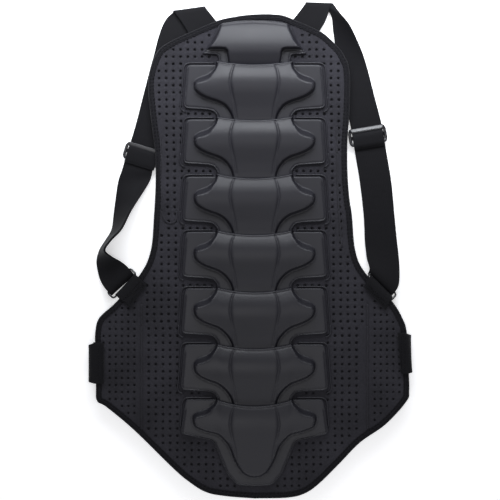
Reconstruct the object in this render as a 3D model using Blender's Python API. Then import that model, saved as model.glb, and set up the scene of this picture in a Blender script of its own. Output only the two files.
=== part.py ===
"""Articulated back protector for a motorcyclist, lying flat with its plates up.

+Y points to the wearer's neck, +X to the right of the plates, +Z out of the plates.  The origin is
on the flat underside of the fifth comfort pad, which is the plane that the protector rests on.
Design values are millimetres; MM turns them into metres when a mesh is made.
"""
import math

import bpy
from mathutils import Matrix, Vector

MM = 0.001
GAP = 0.3                 # clearance between pieces that touch

# Spine plates and the flex lines between them
PLATE_COUNT = 8
PITCH = 69.8              # from one plate's top line to the next
FIRST_LINE = 227.8        # top line of plate 2
TONGUE = 6.0              # how far a plate's tongue reaches under the next plate's lip
FLANGE_GROWTH = 0.7       # each plate's flange is wider than the last by this much a side
FLEXING = {1: "segment_1", 2: "segment_2", 3: "segment_3", 4: "segment_4", 8: "tail"}

# Heights of the layers
PAD_TOP = 8.0
FLEX_Z = PAD_TOP
PANEL_LOW = 8.3
PANEL_HIGH = 13.7
BINDING_LOW = 8.2
BINDING_HIGH = PANEL_HIGH
PLATE_LOW = PANEL_HIGH + GAP
FLANGE_TOP = 17.5
TONGUE_TOP = 21.0
LIP_LOW = TONGUE_TOP + GAP

# Plan sizes
BINDING_WIDTH = 8.0
WING_SEAM = 138.0
PAD_HALF_WIDTH = 62.0
PAD_GAP = 2.0             # from a flex line to the nearest pad
PAD_CORNER = 12.0
RECESS_HALF_WIDTH = 46.1

# Webbing
STRAP_THICKNESS = 2.8     # the strap is doubled between its slider and its tab
STRAP_Z = 4.0
STRAP_CUT = 1.0           # from a flex line to the strap piece beside it
RISER_THICKNESS = 2.0
SLIDER_LENGTH = 45.0
SLIDER_HEIGHT = 21.0
SLIDER_RAIL = 2.4         # width of its side rails
SLIDER_BAR = 4.2          # width of its end bars
SLIDER_MIDDLE = 2.5       # half width of its centre bar
SLIDER_LOW = 0.6
SLIDER_TOP = 7.6

# Waist belt
BELT_WIDTH = 50.0
BELT_EDGE_X = {"left": 203.0, "right": 192.0}
ANCHOR_X = {"left": 183.5, "right": 176.5}
BELT_FOLD_X = 70.0
BELT_FOLD_Z = 4.0
BELT_THICKNESS = 2.2
BELT_OVERLAP = 0.5        # how far each belt layer reaches towards the other past the fold's height
PATCH_LENGTH = 54.0
PATCH_TRIM = 3.0          # a fastener patch is this much narrower than the belt at each edge
BELT_Y = {"left": -138.0, "right": -126.0}

SIDES = {"left": -1, "right": 1}

# Edge of the panel, from the middle of the top to the middle of the tail
EDGE = {
    "left": (
        (0, 287.8), (-20, 285.5), (-46, 279.7), (-83, 264), (-104, 254), (-118, 243), (-127, 222),
        (-130, 198), (-125.7, 154), (-121.5, 120), (-120.8, 82), (-122.7, 43), (-126.6, 0),
        (-139.3, -29), (-168.5, -63), (-189, -82), (-194.2, -98), (-194.7, -120), (-193.7, -165),
        (-192.5, -184), (-180.5, -192), (-147, -220), (-100, -266), (-80, -283), (-59.5, -295.6),
        (-36, -300.5), (0, -303.4)),
    "right": (
        (0, 287.8), (18, 288), (34, 286.5), (47, 281.7), (80, 267), (96, 254), (108, 240),
        (116, 218), (116, 169), (113.4, 130), (113.8, 91), (116, 62), (119, 42.5), (123, 0),
        (134.6, -27), (167.6, -62), (181, -84), (186, -101), (188, -140), (189, -171),
        (185.5, -185), (160, -213), (129, -235), (103.5, -261), (78, -286), (60.6, -297.6),
        (40, -302.4), (0, -303.4))}

# Plate outlines: distance below the top line, half width of the flange, half width of the raised
# crown, height of the crown
LIP_ROWS = ((0.0, 45.8, 24.0), (-0.8, 46.2, 24.4))
MIDDLE_ROWS = (
    (-1.0, 78.0, 48.2, 24.6), (-6.8, 83.2, 52.5, 27.4), (-7.0, 83.2, 52.8, 27.5),
    (-10.0, 83.5, 57.6, 28.8), (-14.4, 84.0, 68.0, 30.2), (-20.0, 84.5, 73.0, 31.0),
    (-26.0, 85.0, 74.0, 30.8), (-32.6, 85.6, 72.2, 29.6), (-39.0, 86.2, 64.0, 27.4),
    (-45.0, 86.8, 46.0, 25.2), (-50.0, 87.0, 36.6, 23.6), (-53.0, 84.0, 33.5, 22.8),
    (-54.4, 76.0, 32.5, 22.4), (-54.6, 49.5, 32.4, 22.4), (-63.4, 46.4, 28.2, 21.0),
    (-66.0, 45.5, 27.4, 20.8), (-75.5, 45.0, 26.4, 20.4))
TOP_ROWS = (
    (51.7, 12.0, 8.0, 19.0), (50.7, 25.0, 21.0, 20.5), (47.2, 41.5, 37.0, 23.5),
    (37.0, 46.5, 43.0, 29.0), (28.0, 51.0, 48.0, 30.5), (22.0, 54.5, 51.0, 29.5),
    (16.5, 60.0, 54.0, 27.0), (15.9, 61.0, 34.0, 26.8), (12.5, 62.5, 33.4, 25.0),
    (11.3, 61.5, 33.2, 24.4), (11.1, 44.5, 33.2, 24.4), (4.0, 43.5, 32.2, 21.0),
    (-5.7, 43.0, 31.0, 20.4))
TAIL_ROWS = (
    (-1.0, 78.0, 48.2, 24.6), (-6.8, 82.0, 53.5, 27.4), (-7.0, 82.0, 54.0, 27.5),
    (-10.0, 82.4, 60.0, 28.8), (-17.0, 83.2, 75.0, 30.8), (-24.0, 84.0, 74.0, 31.0),
    (-32.0, 85.0, 70.0, 29.6), (-38.0, 85.8, 50.0, 28.0), (-42.0, 81.0, 39.0, 26.8),
    (-45.0, 64.0, 36.5, 26.0), (-47.5, 50.0, 34.0, 25.2), (-64.0, 42.0, 26.5, 22.6),
    (-81.0, 33.0, 15.0, 19.8), (-88.0, 28.0, 8.0, 18.4), (-95.7, 20.0, 5.0, 17.9),
    (-98.9, 6.0, 3.0, 17.8))

# Shoulder straps as pairs of edge points (left edge, right edge), from behind the panel's top to
# the tab.  The first stretch is the riser and its fold; the others start and end on a flex line.
RISERS = {
    "left": (
        ((-76.0, 256.0, 6.8), (-40.5, 272.0, 6.8)), ((-96.5, 289.0, 6.8), (-59.0, 294.5, 6.8)),
        ((-99.5, 292.3, 4.6), (-60.5, 297.6, 4.6)), ((-101.0, 290.0, 2.4), (-63.0, 294.5, 2.4)),
        ((-108.2, 283.0, 2.4), (-72.0, 284.0, 2.4)), ((-116.0, 266.0, 3.0), (-79.0, 266.0, 3.0)),
        ((-123.8, 236.7, 3.6), (-86.5, 236.7, 3.6))),
    "right": (
        ((42.0, 275.5, 6.8), (75.0, 261.0, 6.8)), ((62.0, 300.0, 6.8), (94.0, 292.0, 6.8)),
        ((63.5, 303.0, 4.6), (95.8, 295.4, 4.6)), ((68.0, 299.0, 2.4), (96.5, 292.0, 3.0)),
        ((94.6, 284.0, 3.0), (103.5, 287.5, 20.0)), ((96.4, 272.0, 3.0), (116.5, 273.0, 17.0)),
        ((99.4, 245.2, 3.6), (130.7, 245.2, 8.0)))}
STRAP_STARTS = {
    "left": {2: ((-127.9, 4.0), (-89.7, 4.0)), 3: ((-145.8, 4.0), (-108.0, 4.0)),
             4: ((-167.2, 4.0), (-129.4, 4.0)), 5: ((-181.2, 4.0), (-173.6, 34.0))},
    "right": {2: ((102.5, 4.0), (138.3, 4.6)), 3: ((117.5, 4.0), (156.1, 4.0)),
              4: ((129.1, 4.0), (167.7, 4.0)), 5: ((135.0, 4.0), (174.3, 4.0))}}
STRAP_BENDS = {
    "left": {4: (((-171.4, 48.8, 4.0), (-149.5, 48.8, 24.0)),
                 ((-174.0, 26.0, 4.0), (-161.0, 26.0, 32.0)))},
    "right": {4: (((133.6, 42.7, 4.0), (171.4, 42.7, 4.0)),)}}
STRAP_ENDS = {
    "left": (((-189.5, 0.0, 4.0), (-182.0, 0.0, 34.0)), ((-193.5, -14.0, 4.0), (-173.5, -8.0, 24.0)),
             ((-187.5, -42.0, 4.0), (-155.0, -20.5, 9.0)), ((-181.5, -49.5, 4.0), (-149.0, -26.0, 4.0))),
    "right": (((135.8, 0.0, 4.0), (176.0, 0.0, 4.0)), ((147.0, -22.0, 4.0), (177.0, -42.0, 4.0)))}

# Webbing tabs: ends of the inner sewn edge and of the outer fold, on top of the panel
TABS = {
    "left": ((-157.0, -71.0), (-130.5, -40.0), (-173.5, -58.5), (-144.0, -27.0)),
    "right": ((134.0, -43.5), (160.0, -75.0), (147.5, -31.5), (172.0, -59.5))}

# Sliders: centre and the strap's lean from the Y axis, in degrees
SLIDERS = {"left": ((-137.0, 116.5), -17.0), "right": ((138.6, 139.5), 9.5)}


def reset_scene():
    """Remove every object of the open file."""
    for item in list(bpy.data.objects):
        bpy.data.objects.remove(item, do_unlink=True)


def make_material(name, colour, roughness, metallic=0.0):
    """A Principled BSDF material in one colour."""
    material = bpy.data.materials.new(name)
    material.use_nodes = True
    shader = material.node_tree.nodes["Principled BSDF"]
    shader.inputs["Base Color"].default_value = (*colour, 1.0)
    shader.inputs["Roughness"].default_value = roughness
    shader.inputs["Metallic"].default_value = metallic
    return material


def make_materials():
    """The materials of the protector by the kind of piece."""
    return {
        "plate": make_material("moulded_plate", (0.060, 0.060, 0.068), 0.45),
        "panel": make_material("perforated_foam", (0.048, 0.046, 0.052), 0.85),
        "binding": make_material("binding_tape", (0.022, 0.022, 0.026), 0.80),
        "pad": make_material("comfort_pad", (0.030, 0.030, 0.034), 0.90),
        "webbing": make_material("strap_webbing", (0.012, 0.012, 0.014), 0.75),
        "slider": make_material("slider_plastic", (0.010, 0.010, 0.011), 0.35),
        "belt": make_material("belt_elastic", (0.018, 0.018, 0.021), 0.80),
        "patch": make_material("hook_and_loop", (0.012, 0.012, 0.013), 0.95)}


def make_pivot(name, location, parent=None):
    """An empty at a joint, which the pieces of a moving body are parented to."""
    pivot = bpy.data.objects.new(name, None)
    bpy.context.collection.objects.link(pivot)
    if parent is not None:
        pivot.parent = parent
        pivot.matrix_parent_inverse = Matrix.Translation(-Vector(parent["place"]))
    pivot.location = Vector(location) * MM
    pivot["place"] = tuple(pivot.location)
    return pivot


def add_piece(name, points, faces, material, pivot):
    """Make one named object from points in millimetres and hang it on its body's pivot."""
    mesh = bpy.data.meshes.new(name)
    mesh.from_pydata([Vector(point) * MM for point in points], [], faces)
    mesh.materials.append(material)
    mesh.update()
    piece = bpy.data.objects.new(name, mesh)
    bpy.context.collection.objects.link(piece)
    piece.parent = pivot
    piece.matrix_parent_inverse = Matrix.Translation(-Vector(pivot["place"]))
    return piece


def signed_area(outline):
    """Area of a plan outline, positive when it runs anticlockwise."""
    pairs = zip(outline, outline[1:] + outline[:1])
    return sum(a[0] * b[1] - b[0] * a[1] for a, b in pairs) / 2


def add_prism(name, outline, low, high, material, pivot):
    """A plan outline raised from one height to another."""
    if signed_area(outline) < 0:
        outline = outline[::-1]
    count = len(outline)
    points = [(x, y, low) for x, y in outline] + [(x, y, high) for x, y in outline]
    faces = [tuple(reversed(range(count))), tuple(range(count, 2 * count))]
    for index in range(count):
        after = (index + 1) % count
        faces.append((index, after, count + after, count + index))
    return add_piece(name, points, faces, material, pivot)


def add_loft(name, rings, material, pivot):
    """Closed body through rings of equal length, the first and last ring capped."""
    size = len(rings[0])
    points = [point for ring in rings for point in ring]
    last = (len(rings) - 1) * size
    faces = [tuple(range(size)), tuple(reversed(range(last, last + size)))]
    for row in range(len(rings) - 1):
        start = row * size
        for index in range(size):
            after = (index + 1) % size
            faces.append((start + after, start + index, start + size + index, start + size + after))
    return add_piece(name, points, faces, material, pivot)


def smooth_line(points, steps=3):
    """Catmull-Rom curve through plan points, with a few points on each stretch."""
    padded = [points[0], *points, points[-1]]
    curve = []
    for before, start, end, after in zip(padded, padded[1:], padded[2:], padded[3:]):
        for step in range(steps):
            t = step / steps
            curve.append(tuple(
                0.5 * (2 * b + (c - a) * t + (2 * a - 5 * b + 4 * c - d) * t * t
                       + (3 * b - a - 3 * c + d) * t ** 3)
                for a, b, c, d in zip(before, start, end, after)))
    curve.append(tuple(points[-1]))
    return curve


def inset_line(line, distance, side):
    """The line moved towards the panel's middle by a distance."""
    moved = []
    for index, (x, y) in enumerate(line):
        before = line[max(index - 1, 0)]
        after = line[min(index + 1, len(line) - 1)]
        run = Vector((after[0] - before[0], after[1] - before[1])).normalized()
        inward = Vector((run.y, -run.x)) * side
        if index in (0, len(line) - 1):
            inward = Vector((0.0, -1.0 if index == 0 else 1.0))
        moved.append((x + inward.x * distance, y + inward.y * distance))
    return moved


def cut_line(line, top, bottom):
    """The stretch of a falling line between two heights along Y."""
    kept = []
    for start, end in zip(line, line[1:]):
        for level in (top, bottom):
            if start[1] > level > end[1]:
                share = (start[1] - level) / (start[1] - end[1])
                crossing = (start[0] + (end[0] - start[0]) * share, level)
                kept.append(crossing)
        if bottom < end[1] < top:
            kept.append(end)
    if line[0][1] < top:
        kept.insert(0, line[0])
    return kept


def top_line(number):
    """Y of the top line of a plate, which is the bottom line of the plate above it."""
    return FIRST_LINE - PITCH * (number - 2)


def flex_line(number):
    """Y of the flex line under a plate, at the tip of its tongue."""
    return top_line(number + 1) - TONGUE


def plate_ring(y, flange, crown, height, recessed, low=PLATE_LOW, shelf=FLANGE_TOP):
    """Cross-section of a plate: crown, flange, flat underside and the recess for a tongue."""
    recess = LIP_LOW if recessed else low
    inner = RECESS_HALF_WIDTH - (0.1 if recessed else 4.0)
    shoulder = max(crown - 4.0, crown * 0.6)
    half = [
        (shoulder, height - 0.25 * (height - shelf)), (crown, shelf), (flange, shelf - 0.4),
        (flange, low), (min(RECESS_HALF_WIDTH, flange - 0.2), low), (min(inner, flange - 1.0), recess)]
    right = [(x, y, z) for x, z in half]
    left = [(-x, y, z) for x, z in reversed(half)]
    return [(0.0, y, height), *right, (0.0, y, recess), *left]


def plate_rings(number):
    """All cross-sections of one plate, from its neck end to its tail end."""
    base = top_line(number)
    if number == 1:
        line = top_line(2)
        return [plate_ring(line + y, *row, recessed=False) for y, *row in TOP_ROWS]
    rings = []
    for y, half_width, height in LIP_ROWS:
        rings.append(plate_ring(
            base + y, half_width, half_width - 0.4, height, False, low=LIP_LOW, shelf=LIP_LOW + 1.4))
    growth = FLANGE_GROWTH * (number - 2)
    for y, flange, crown, height in TAIL_ROWS if number == PLATE_COUNT else MIDDLE_ROWS:
        widened = flange + growth if flange > 60 else flange
        rings.append(plate_ring(base + y, widened, crown, height, recessed=y > -6.9))
    return rings


def add_plates(pivots, materials):
    """The eight moulded plates, each lapped over the tongue of the one above."""
    for number in range(1, PLATE_COUNT + 1):
        name = f"spine_plate_{number}"
        add_loft(name, plate_rings(number), materials["plate"], pivots[body_of(number)])


def body_of(number):
    """Name of the body that a plate belongs to."""
    return FLEXING.get(number, "lumbar")


def rounded_box(left, right, bottom, top, radius, steps=3):
    """Plan outline of a rectangle with round corners."""
    outline = []
    corners = ((right, top, 0), (left, top, 90), (left, bottom, 180), (right, bottom, 270))
    for x, y, start in corners:
        centre_x = x - math.copysign(radius, x - (left + right) / 2)
        centre_y = y - math.copysign(radius, y - (bottom + top) / 2)
        for step in range(steps + 1):
            angle = math.radians(start + 90 * step / steps)
            outline.append((centre_x + radius * math.cos(angle), centre_y + radius * math.sin(angle)))
    return outline


def add_pads(pivots, materials):
    """Comfort pads on the body side, one behind each plate."""
    for number in range(1, PLATE_COUNT + 1):
        half_width = PAD_HALF_WIDTH
        top = flex_line(number - 1) - PAD_GAP
        bottom = flex_line(number) + PAD_GAP
        if number == 1:
            half_width = 48.0
            top = 256.0
        if number == PLATE_COUNT:
            half_width = 52.0
            bottom = -276.0
        outline = rounded_box(-half_width, half_width, bottom, top, PAD_CORNER)
        name = f"body_pad_{number}"
        add_prism(name, outline, 0.0, PAD_TOP, materials["pad"], pivots[body_of(number)])


def panel_lines(distance):
    """Both side lines of the panel, moved in from its edge by a distance."""
    lines = {}
    for name, side in SIDES.items():
        edge = smooth_line(EDGE[name])
        lines[name] = inset_line(edge, distance, side) if distance else edge
    return lines


def sections():
    """The panel's strips as (name, body, top Y, bottom Y)."""
    far = 400.0
    levels = [flex_line(number) for number in (1, 2, 3, 4)] + [flex_line(7)]
    tops = [far] + [level - GAP for level in levels]
    bottoms = [level + GAP for level in levels] + [-far]
    names = ("1", "2", "3", "4", "lumbar", "tail")
    bodies = ("segment_1", "segment_2", "segment_3", "segment_4", "lumbar", "tail")
    return list(zip(names, bodies, tops, bottoms))


def clip_sideways(outline, limit, sign):
    """The part of a plan outline where sign * x is less than the limit."""
    kept = []
    for start, end in zip(outline, outline[1:] + outline[:1]):
        inside = sign * start[0] < limit
        if inside:
            kept.append(start)
        if inside != (sign * end[0] < limit):
            share = (limit - sign * start[0]) / (sign * (end[0] - start[0]))
            kept.append((sign * limit, start[1] + (end[1] - start[1]) * share))
    return kept


def add_panel(pivots, materials):
    """The foam panel in strips between the flex lines, and the two waist wings."""
    lines = panel_lines(BINDING_WIDTH + GAP)
    for name, body, top, bottom in sections():
        left = cut_line(lines["left"], top, bottom)
        right = cut_line(lines["right"], top, bottom)
        outline = left + right[::-1]
        if name == "lumbar":
            for side_name, side in SIDES.items():
                wing = clip_sideways(outline, -(WING_SEAM + GAP / 2), -side)
                add_prism(f"waist_wing_{side_name}", wing, PANEL_LOW, PANEL_HIGH,
                          materials["panel"], pivots[body])
            for side in SIDES.values():
                outline = clip_sideways(outline, WING_SEAM - GAP / 2, side)
        add_prism(f"back_panel_{name}", outline, PANEL_LOW, PANEL_HIGH,
                  materials["panel"], pivots[body])


def add_bindings(pivots, materials):
    """The tape round the panel's edge, cut at the flex lines like the panel."""
    outer = panel_lines(0.0)
    inner = panel_lines(BINDING_WIDTH)
    for name, body, top, bottom in sections():
        bands = {}
        for side in SIDES:
            bands[side] = (cut_line(outer[side], top, bottom), cut_line(inner[side], top, bottom))
        if name == "1":
            outside = bands["left"][0][::-1] + bands["right"][0][1:]
            inside = bands["left"][1][::-1] + bands["right"][1][1:]
            bands = {"": (outside, inside)}
        if name == "tail":
            outside = bands["left"][0] + bands["right"][0][-2::-1]
            inside = bands["left"][1] + bands["right"][1][-2::-1]
            bands = {"": (outside, inside)}
        for side, (outside, inside) in bands.items():
            label = "_".join(part for part in ("edge_binding", side, name) if part)
            add_prism(label, outside + inside[::-1], BINDING_LOW, BINDING_HIGH,
                      materials["binding"], pivots[body])


def add_strip(name, stations, thickness, material, pivot):
    """Flat webbing between two edge lines, with its thickness across the sheet."""
    rings = []
    for index, (left, right) in enumerate(stations):
        before = stations[max(index - 1, 0)]
        after = stations[min(index + 1, len(stations) - 1)]
        run = sum((Vector(after[side]) - Vector(before[side]) for side in (0, 1)), Vector())
        across = Vector(right) - Vector(left)
        normal = across.cross(run).normalized() * thickness / 2
        rings.append([tuple(Vector(left) + normal), tuple(Vector(right) + normal),
                      tuple(Vector(right) - normal), tuple(Vector(left) - normal)])
    return add_loft(name, [ring[::-1] for ring in rings], material, pivot)


def station_at(pair, y):
    """An edge pair from its two (x, z) values at one Y."""
    return tuple((x, y, z) for x, z in pair)


def add_straps(pivots, materials):
    """The shoulder straps, cut at the flex lines that they cross."""
    material = materials["webbing"]
    for side, starts in STRAP_STARTS.items():
        first = [*RISERS[side], station_at(starts[2], flex_line(1) + STRAP_CUT)]
        add_strip(f"shoulder_strap_{side}_1", first, RISER_THICKNESS, material, pivots["segment_1"])
        for number in (2, 3, 4):
            stations = [station_at(starts[number], flex_line(number - 1) - STRAP_CUT)]
            stations += STRAP_BENDS[side].get(number, ())
            stations.append(station_at(starts[number + 1], flex_line(number) + STRAP_CUT))
            add_strip(f"shoulder_strap_{side}_{number}", stations, STRAP_THICKNESS, material,
                      pivots[body_of(number)])
        last = [station_at(starts[5], flex_line(4) - STRAP_CUT), *STRAP_ENDS[side]]
        add_strip(f"shoulder_strap_{side}_5", last, STRAP_THICKNESS, material, pivots["lumbar"])


def add_tabs(pivots, materials):
    """Webbing folded over the panel's edge, which holds the lower end of each strap."""
    above = BINDING_HIGH + GAP + RISER_THICKNESS / 2
    below = BINDING_LOW - GAP - RISER_THICKNESS / 2
    middle = (above + below) / 2
    for side, (inner_a, inner_b, outer_a, outer_b) in TABS.items():
        bow = Vector(outer_a) - Vector(inner_a)
        tip = bow * (1.0 + 3.0 / bow.length)
        stations = [
            ((*inner_a, above), (*inner_b, above)), ((*outer_a, above), (*outer_b, above)),
            ((*(Vector(inner_a) + tip), middle), (*(Vector(inner_b) + tip), middle)),
            ((*outer_a, below), (*outer_b, below)), ((*inner_a, below), (*inner_b, below))]
        add_strip(f"strap_tab_{side}", stations, RISER_THICKNESS, materials["webbing"],
                  pivots["lumbar"])


def box_points(low, high):
    """Corners of an axis-aligned box."""
    return [(x, y, z) for z in (low[2], high[2]) for x, y in (
        (low[0], low[1]), (high[0], low[1]), (high[0], high[1]), (low[0], high[1]))]


def add_box(name, low, high, material, pivot):
    """A plain block between two corners."""
    faces = [(3, 2, 1, 0), (4, 5, 6, 7), (0, 1, 5, 4), (1, 2, 6, 5), (2, 3, 7, 6), (3, 0, 4, 7)]
    return add_piece(name, box_points(low, high), faces, material, pivot)


def join_pieces(piece, others):
    """Make one body of several overlapping ones and drop the spare objects."""
    bpy.context.view_layer.objects.active = piece
    for other in others:
        union = piece.modifiers.new("join", "BOOLEAN")
        union.operation = "UNION"
        union.object = other
        bpy.ops.object.modifier_apply(modifier=union.name)
    for other in others:
        bpy.data.objects.remove(other, do_unlink=True)


def add_sliders(pivots, materials):
    """Tri-glide sliders: two end bars over the strap, a centre bar under it, two side rails."""
    half_length = SLIDER_LENGTH / 2
    half_height = SLIDER_HEIGHT / 2
    over = STRAP_Z + STRAP_THICKNESS / 2 + GAP
    under = STRAP_Z - STRAP_THICKNESS / 2 - GAP
    for side, (centre, lean) in SLIDERS.items():
        pivot = pivots[f"slider_{side}"]
        material = materials["slider"]
        blocks = []
        for sign in (-1, 1):
            rail_x = sorted((sign * half_length, sign * (half_length - SLIDER_RAIL)))
            blocks.append(((rail_x[0], -half_height, SLIDER_LOW), (rail_x[1], half_height, SLIDER_TOP)))
            bar_y = sorted((sign * half_height, sign * (half_height - SLIDER_BAR)))
            blocks.append(((1 - half_length, bar_y[0], over), (half_length - 1, bar_y[1], SLIDER_TOP)))
        blocks.append(((1 - half_length, -SLIDER_MIDDLE, SLIDER_LOW),
                       (half_length - 1, SLIDER_MIDDLE, under)))
        pieces = [add_box(f"block_{index}", *block, material, pivot)
                  for index, block in enumerate(blocks)]
        slider = pieces[0]
        join_pieces(slider, pieces[1:])
        slider.name = f"strap_slider_{side}"
        slider.data.transform(Matrix.Translation(Vector((*centre, 0.0)) * MM)
                              @ Matrix.Rotation(math.radians(lean), 4, "Z"))


def add_belts(pivots, materials):
    """Each half of the waist belt, tucked under its wing in one fold, and its sewn end on top."""
    gap = BELT_THICKNESS / 2 - BELT_OVERLAP
    upper_low = BELT_FOLD_Z + gap
    lower_high = BELT_FOLD_Z - gap
    for side, sign in SIDES.items():
        edge = BELT_EDGE_X[side]
        low_y = BELT_Y[side] - BELT_WIDTH / 2
        high_y = BELT_Y[side] + BELT_WIDTH / 2

        def span(near, far):
            return sorted((sign * near, sign * far))

        pieces = (
            (f"belt_anchor_{side}", "lumbar", "belt", span(ANCHOR_X[side], edge - 1.0),
             BINDING_HIGH + GAP, BINDING_HIGH + GAP + BELT_THICKNESS),
            (f"waist_belt_{side}_near", f"belt_{side}", "belt", span(BELT_FOLD_X, edge - 2.5),
             upper_low, upper_low + BELT_THICKNESS),
            (f"waist_belt_{side}_far", f"belt_{side}_end", "belt", span(BELT_FOLD_X, edge - 5.0),
             lower_high - BELT_THICKNESS, lower_high),
            (("hook_patch" if side == "right" else "loop_patch"), f"belt_{side}_end", "patch",
             span(edge - 8.0 - PATCH_LENGTH, edge - 8.0), 0.15, lower_high - BELT_THICKNESS - 0.2))
        for name, body, finish, (left, right), low, high in pieces:
            trim = PATCH_TRIM if finish == "patch" else 0.0
            add_box(name, (left, low_y + trim, low), (right, high_y - trim, high),
                    materials[finish], pivots[body])


def make_pivots():
    """One empty for each body, on its joint's axis."""
    pivots = {"lumbar": make_pivot("pivot_lumbar", (0.0, 0.0, 0.0))}
    parent = pivots["lumbar"]
    for number in (4, 3, 2, 1):
        place = (0.0, flex_line(number), FLEX_Z)
        parent = make_pivot(f"pivot_segment_{number}", place, parent)
        pivots[f"segment_{number}"] = parent
    place = (0.0, flex_line(7), FLEX_Z)
    pivots["tail"] = make_pivot("pivot_tail", place, pivots["lumbar"])
    for side, sign in SIDES.items():
        centre = SLIDERS[side][0]
        pivots[f"slider_{side}"] = make_pivot(
            f"pivot_slider_{side}", (*centre, STRAP_Z), pivots["segment_3"])
        hinge = (sign * BELT_EDGE_X[side], BELT_Y[side], PAD_TOP)
        pivots[f"belt_{side}"] = make_pivot(f"pivot_belt_{side}", hinge, pivots["lumbar"])
        fold = (sign * BELT_FOLD_X, BELT_Y[side], BELT_FOLD_Z)
        pivots[f"belt_{side}_end"] = make_pivot(
            f"pivot_belt_{side}_end", fold, pivots[f"belt_{side}"])
    return pivots


def main():
    reset_scene()
    materials = make_materials()
    pivots = make_pivots()
    add_plates(pivots, materials)
    add_panel(pivots, materials)
    add_bindings(pivots, materials)
    add_pads(pivots, materials)
    add_straps(pivots, materials)
    add_tabs(pivots, materials)
    add_sliders(pivots, materials)
    add_belts(pivots, materials)


main()
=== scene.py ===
"""Looks of the back protector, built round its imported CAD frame.

Design values are millimetres in the frame's own axes: +Y to the neck, +Z out of the plates.
MM turns them into metres when a mesh is made.
"""
import math
import random

import bmesh
import bpy
import numpy as np
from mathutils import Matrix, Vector, noise
from mathutils.geometry import delaunay_2d_cdt


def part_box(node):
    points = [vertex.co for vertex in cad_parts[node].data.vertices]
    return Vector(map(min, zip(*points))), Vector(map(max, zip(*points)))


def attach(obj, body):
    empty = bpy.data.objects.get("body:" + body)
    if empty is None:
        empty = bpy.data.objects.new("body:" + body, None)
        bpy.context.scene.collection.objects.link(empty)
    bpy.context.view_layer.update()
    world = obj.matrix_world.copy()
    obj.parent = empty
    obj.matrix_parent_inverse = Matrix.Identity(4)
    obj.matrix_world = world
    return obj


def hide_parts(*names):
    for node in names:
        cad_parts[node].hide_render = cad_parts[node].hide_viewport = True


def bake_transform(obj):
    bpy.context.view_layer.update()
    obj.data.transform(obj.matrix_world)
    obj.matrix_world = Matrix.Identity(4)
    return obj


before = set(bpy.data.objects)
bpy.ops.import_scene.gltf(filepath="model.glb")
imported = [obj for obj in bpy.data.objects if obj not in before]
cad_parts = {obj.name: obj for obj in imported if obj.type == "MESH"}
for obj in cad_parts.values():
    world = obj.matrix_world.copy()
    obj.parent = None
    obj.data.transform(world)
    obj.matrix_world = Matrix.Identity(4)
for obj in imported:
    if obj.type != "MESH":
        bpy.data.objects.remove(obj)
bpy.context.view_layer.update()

MM = 0.001
PITCH = 69.8                        # from one plate's top line to the next
FIRST_LINE = 227.8                  # top line of plate 2
TONGUE = 6.0                        # how far a plate's tongue reaches under the next one's lip
PANEL_LOW, PANEL_TOP = 8.6, 13.4
PLATE_LOW, FLANGE_TOP, LIP_LOW = 13.9, 17.2, 21.35
LIP_HALF, LIP_DEEP = 47.3, 8.0      # half the width of a plate's lip, and its reach below the top line
PLATE_BODIES = ("segment_1", "segment_2", "segment_3", "segment_4", "lumbar", "lumbar", "lumbar", "tail")
SIDES = {"left": -1, "right": 1}
SQUARE = ((-1, -1), (1, -1), (1, 1), (-1, 1))

# Stretches of the soft pieces: each spans one flex line, and is cut between two rows of holes
# about half-way to the next line: (name, upper body, lower body, flex line, top, bottom)
FLEX_LINES = [FIRST_LINE - TONGUE - PITCH * index for index in (0, 1, 2, 3, 6)]
FLEX_BODIES = ("segment_1", "segment_2", "segment_3", "segment_4", "lumbar", "tail")
FAR = 400.0
HOLE_PITCH = (8.75, PITCH / 8)
HOLE_COLUMN = {"a": -7.2, "b": -6.6, "c": -5.6, "d": -4.2, "e": -2.4}
HOLE_ROW = FIRST_LINE - 61.9 - HOLE_PITCH[1] / 2
CUTS = [HOLE_ROW + HOLE_PITCH[1] * round(((a + b) / 2 - HOLE_ROW) / HOLE_PITCH[1])
        for a, b in zip(FLEX_LINES, FLEX_LINES[1:])]
STRETCHES = list(zip("abcde", FLEX_BODIES, FLEX_BODIES[1:], FLEX_LINES, [FAR, *CUTS], [*CUTS, -FAR]))


# ---------------------------------------------------------------- materials

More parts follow.
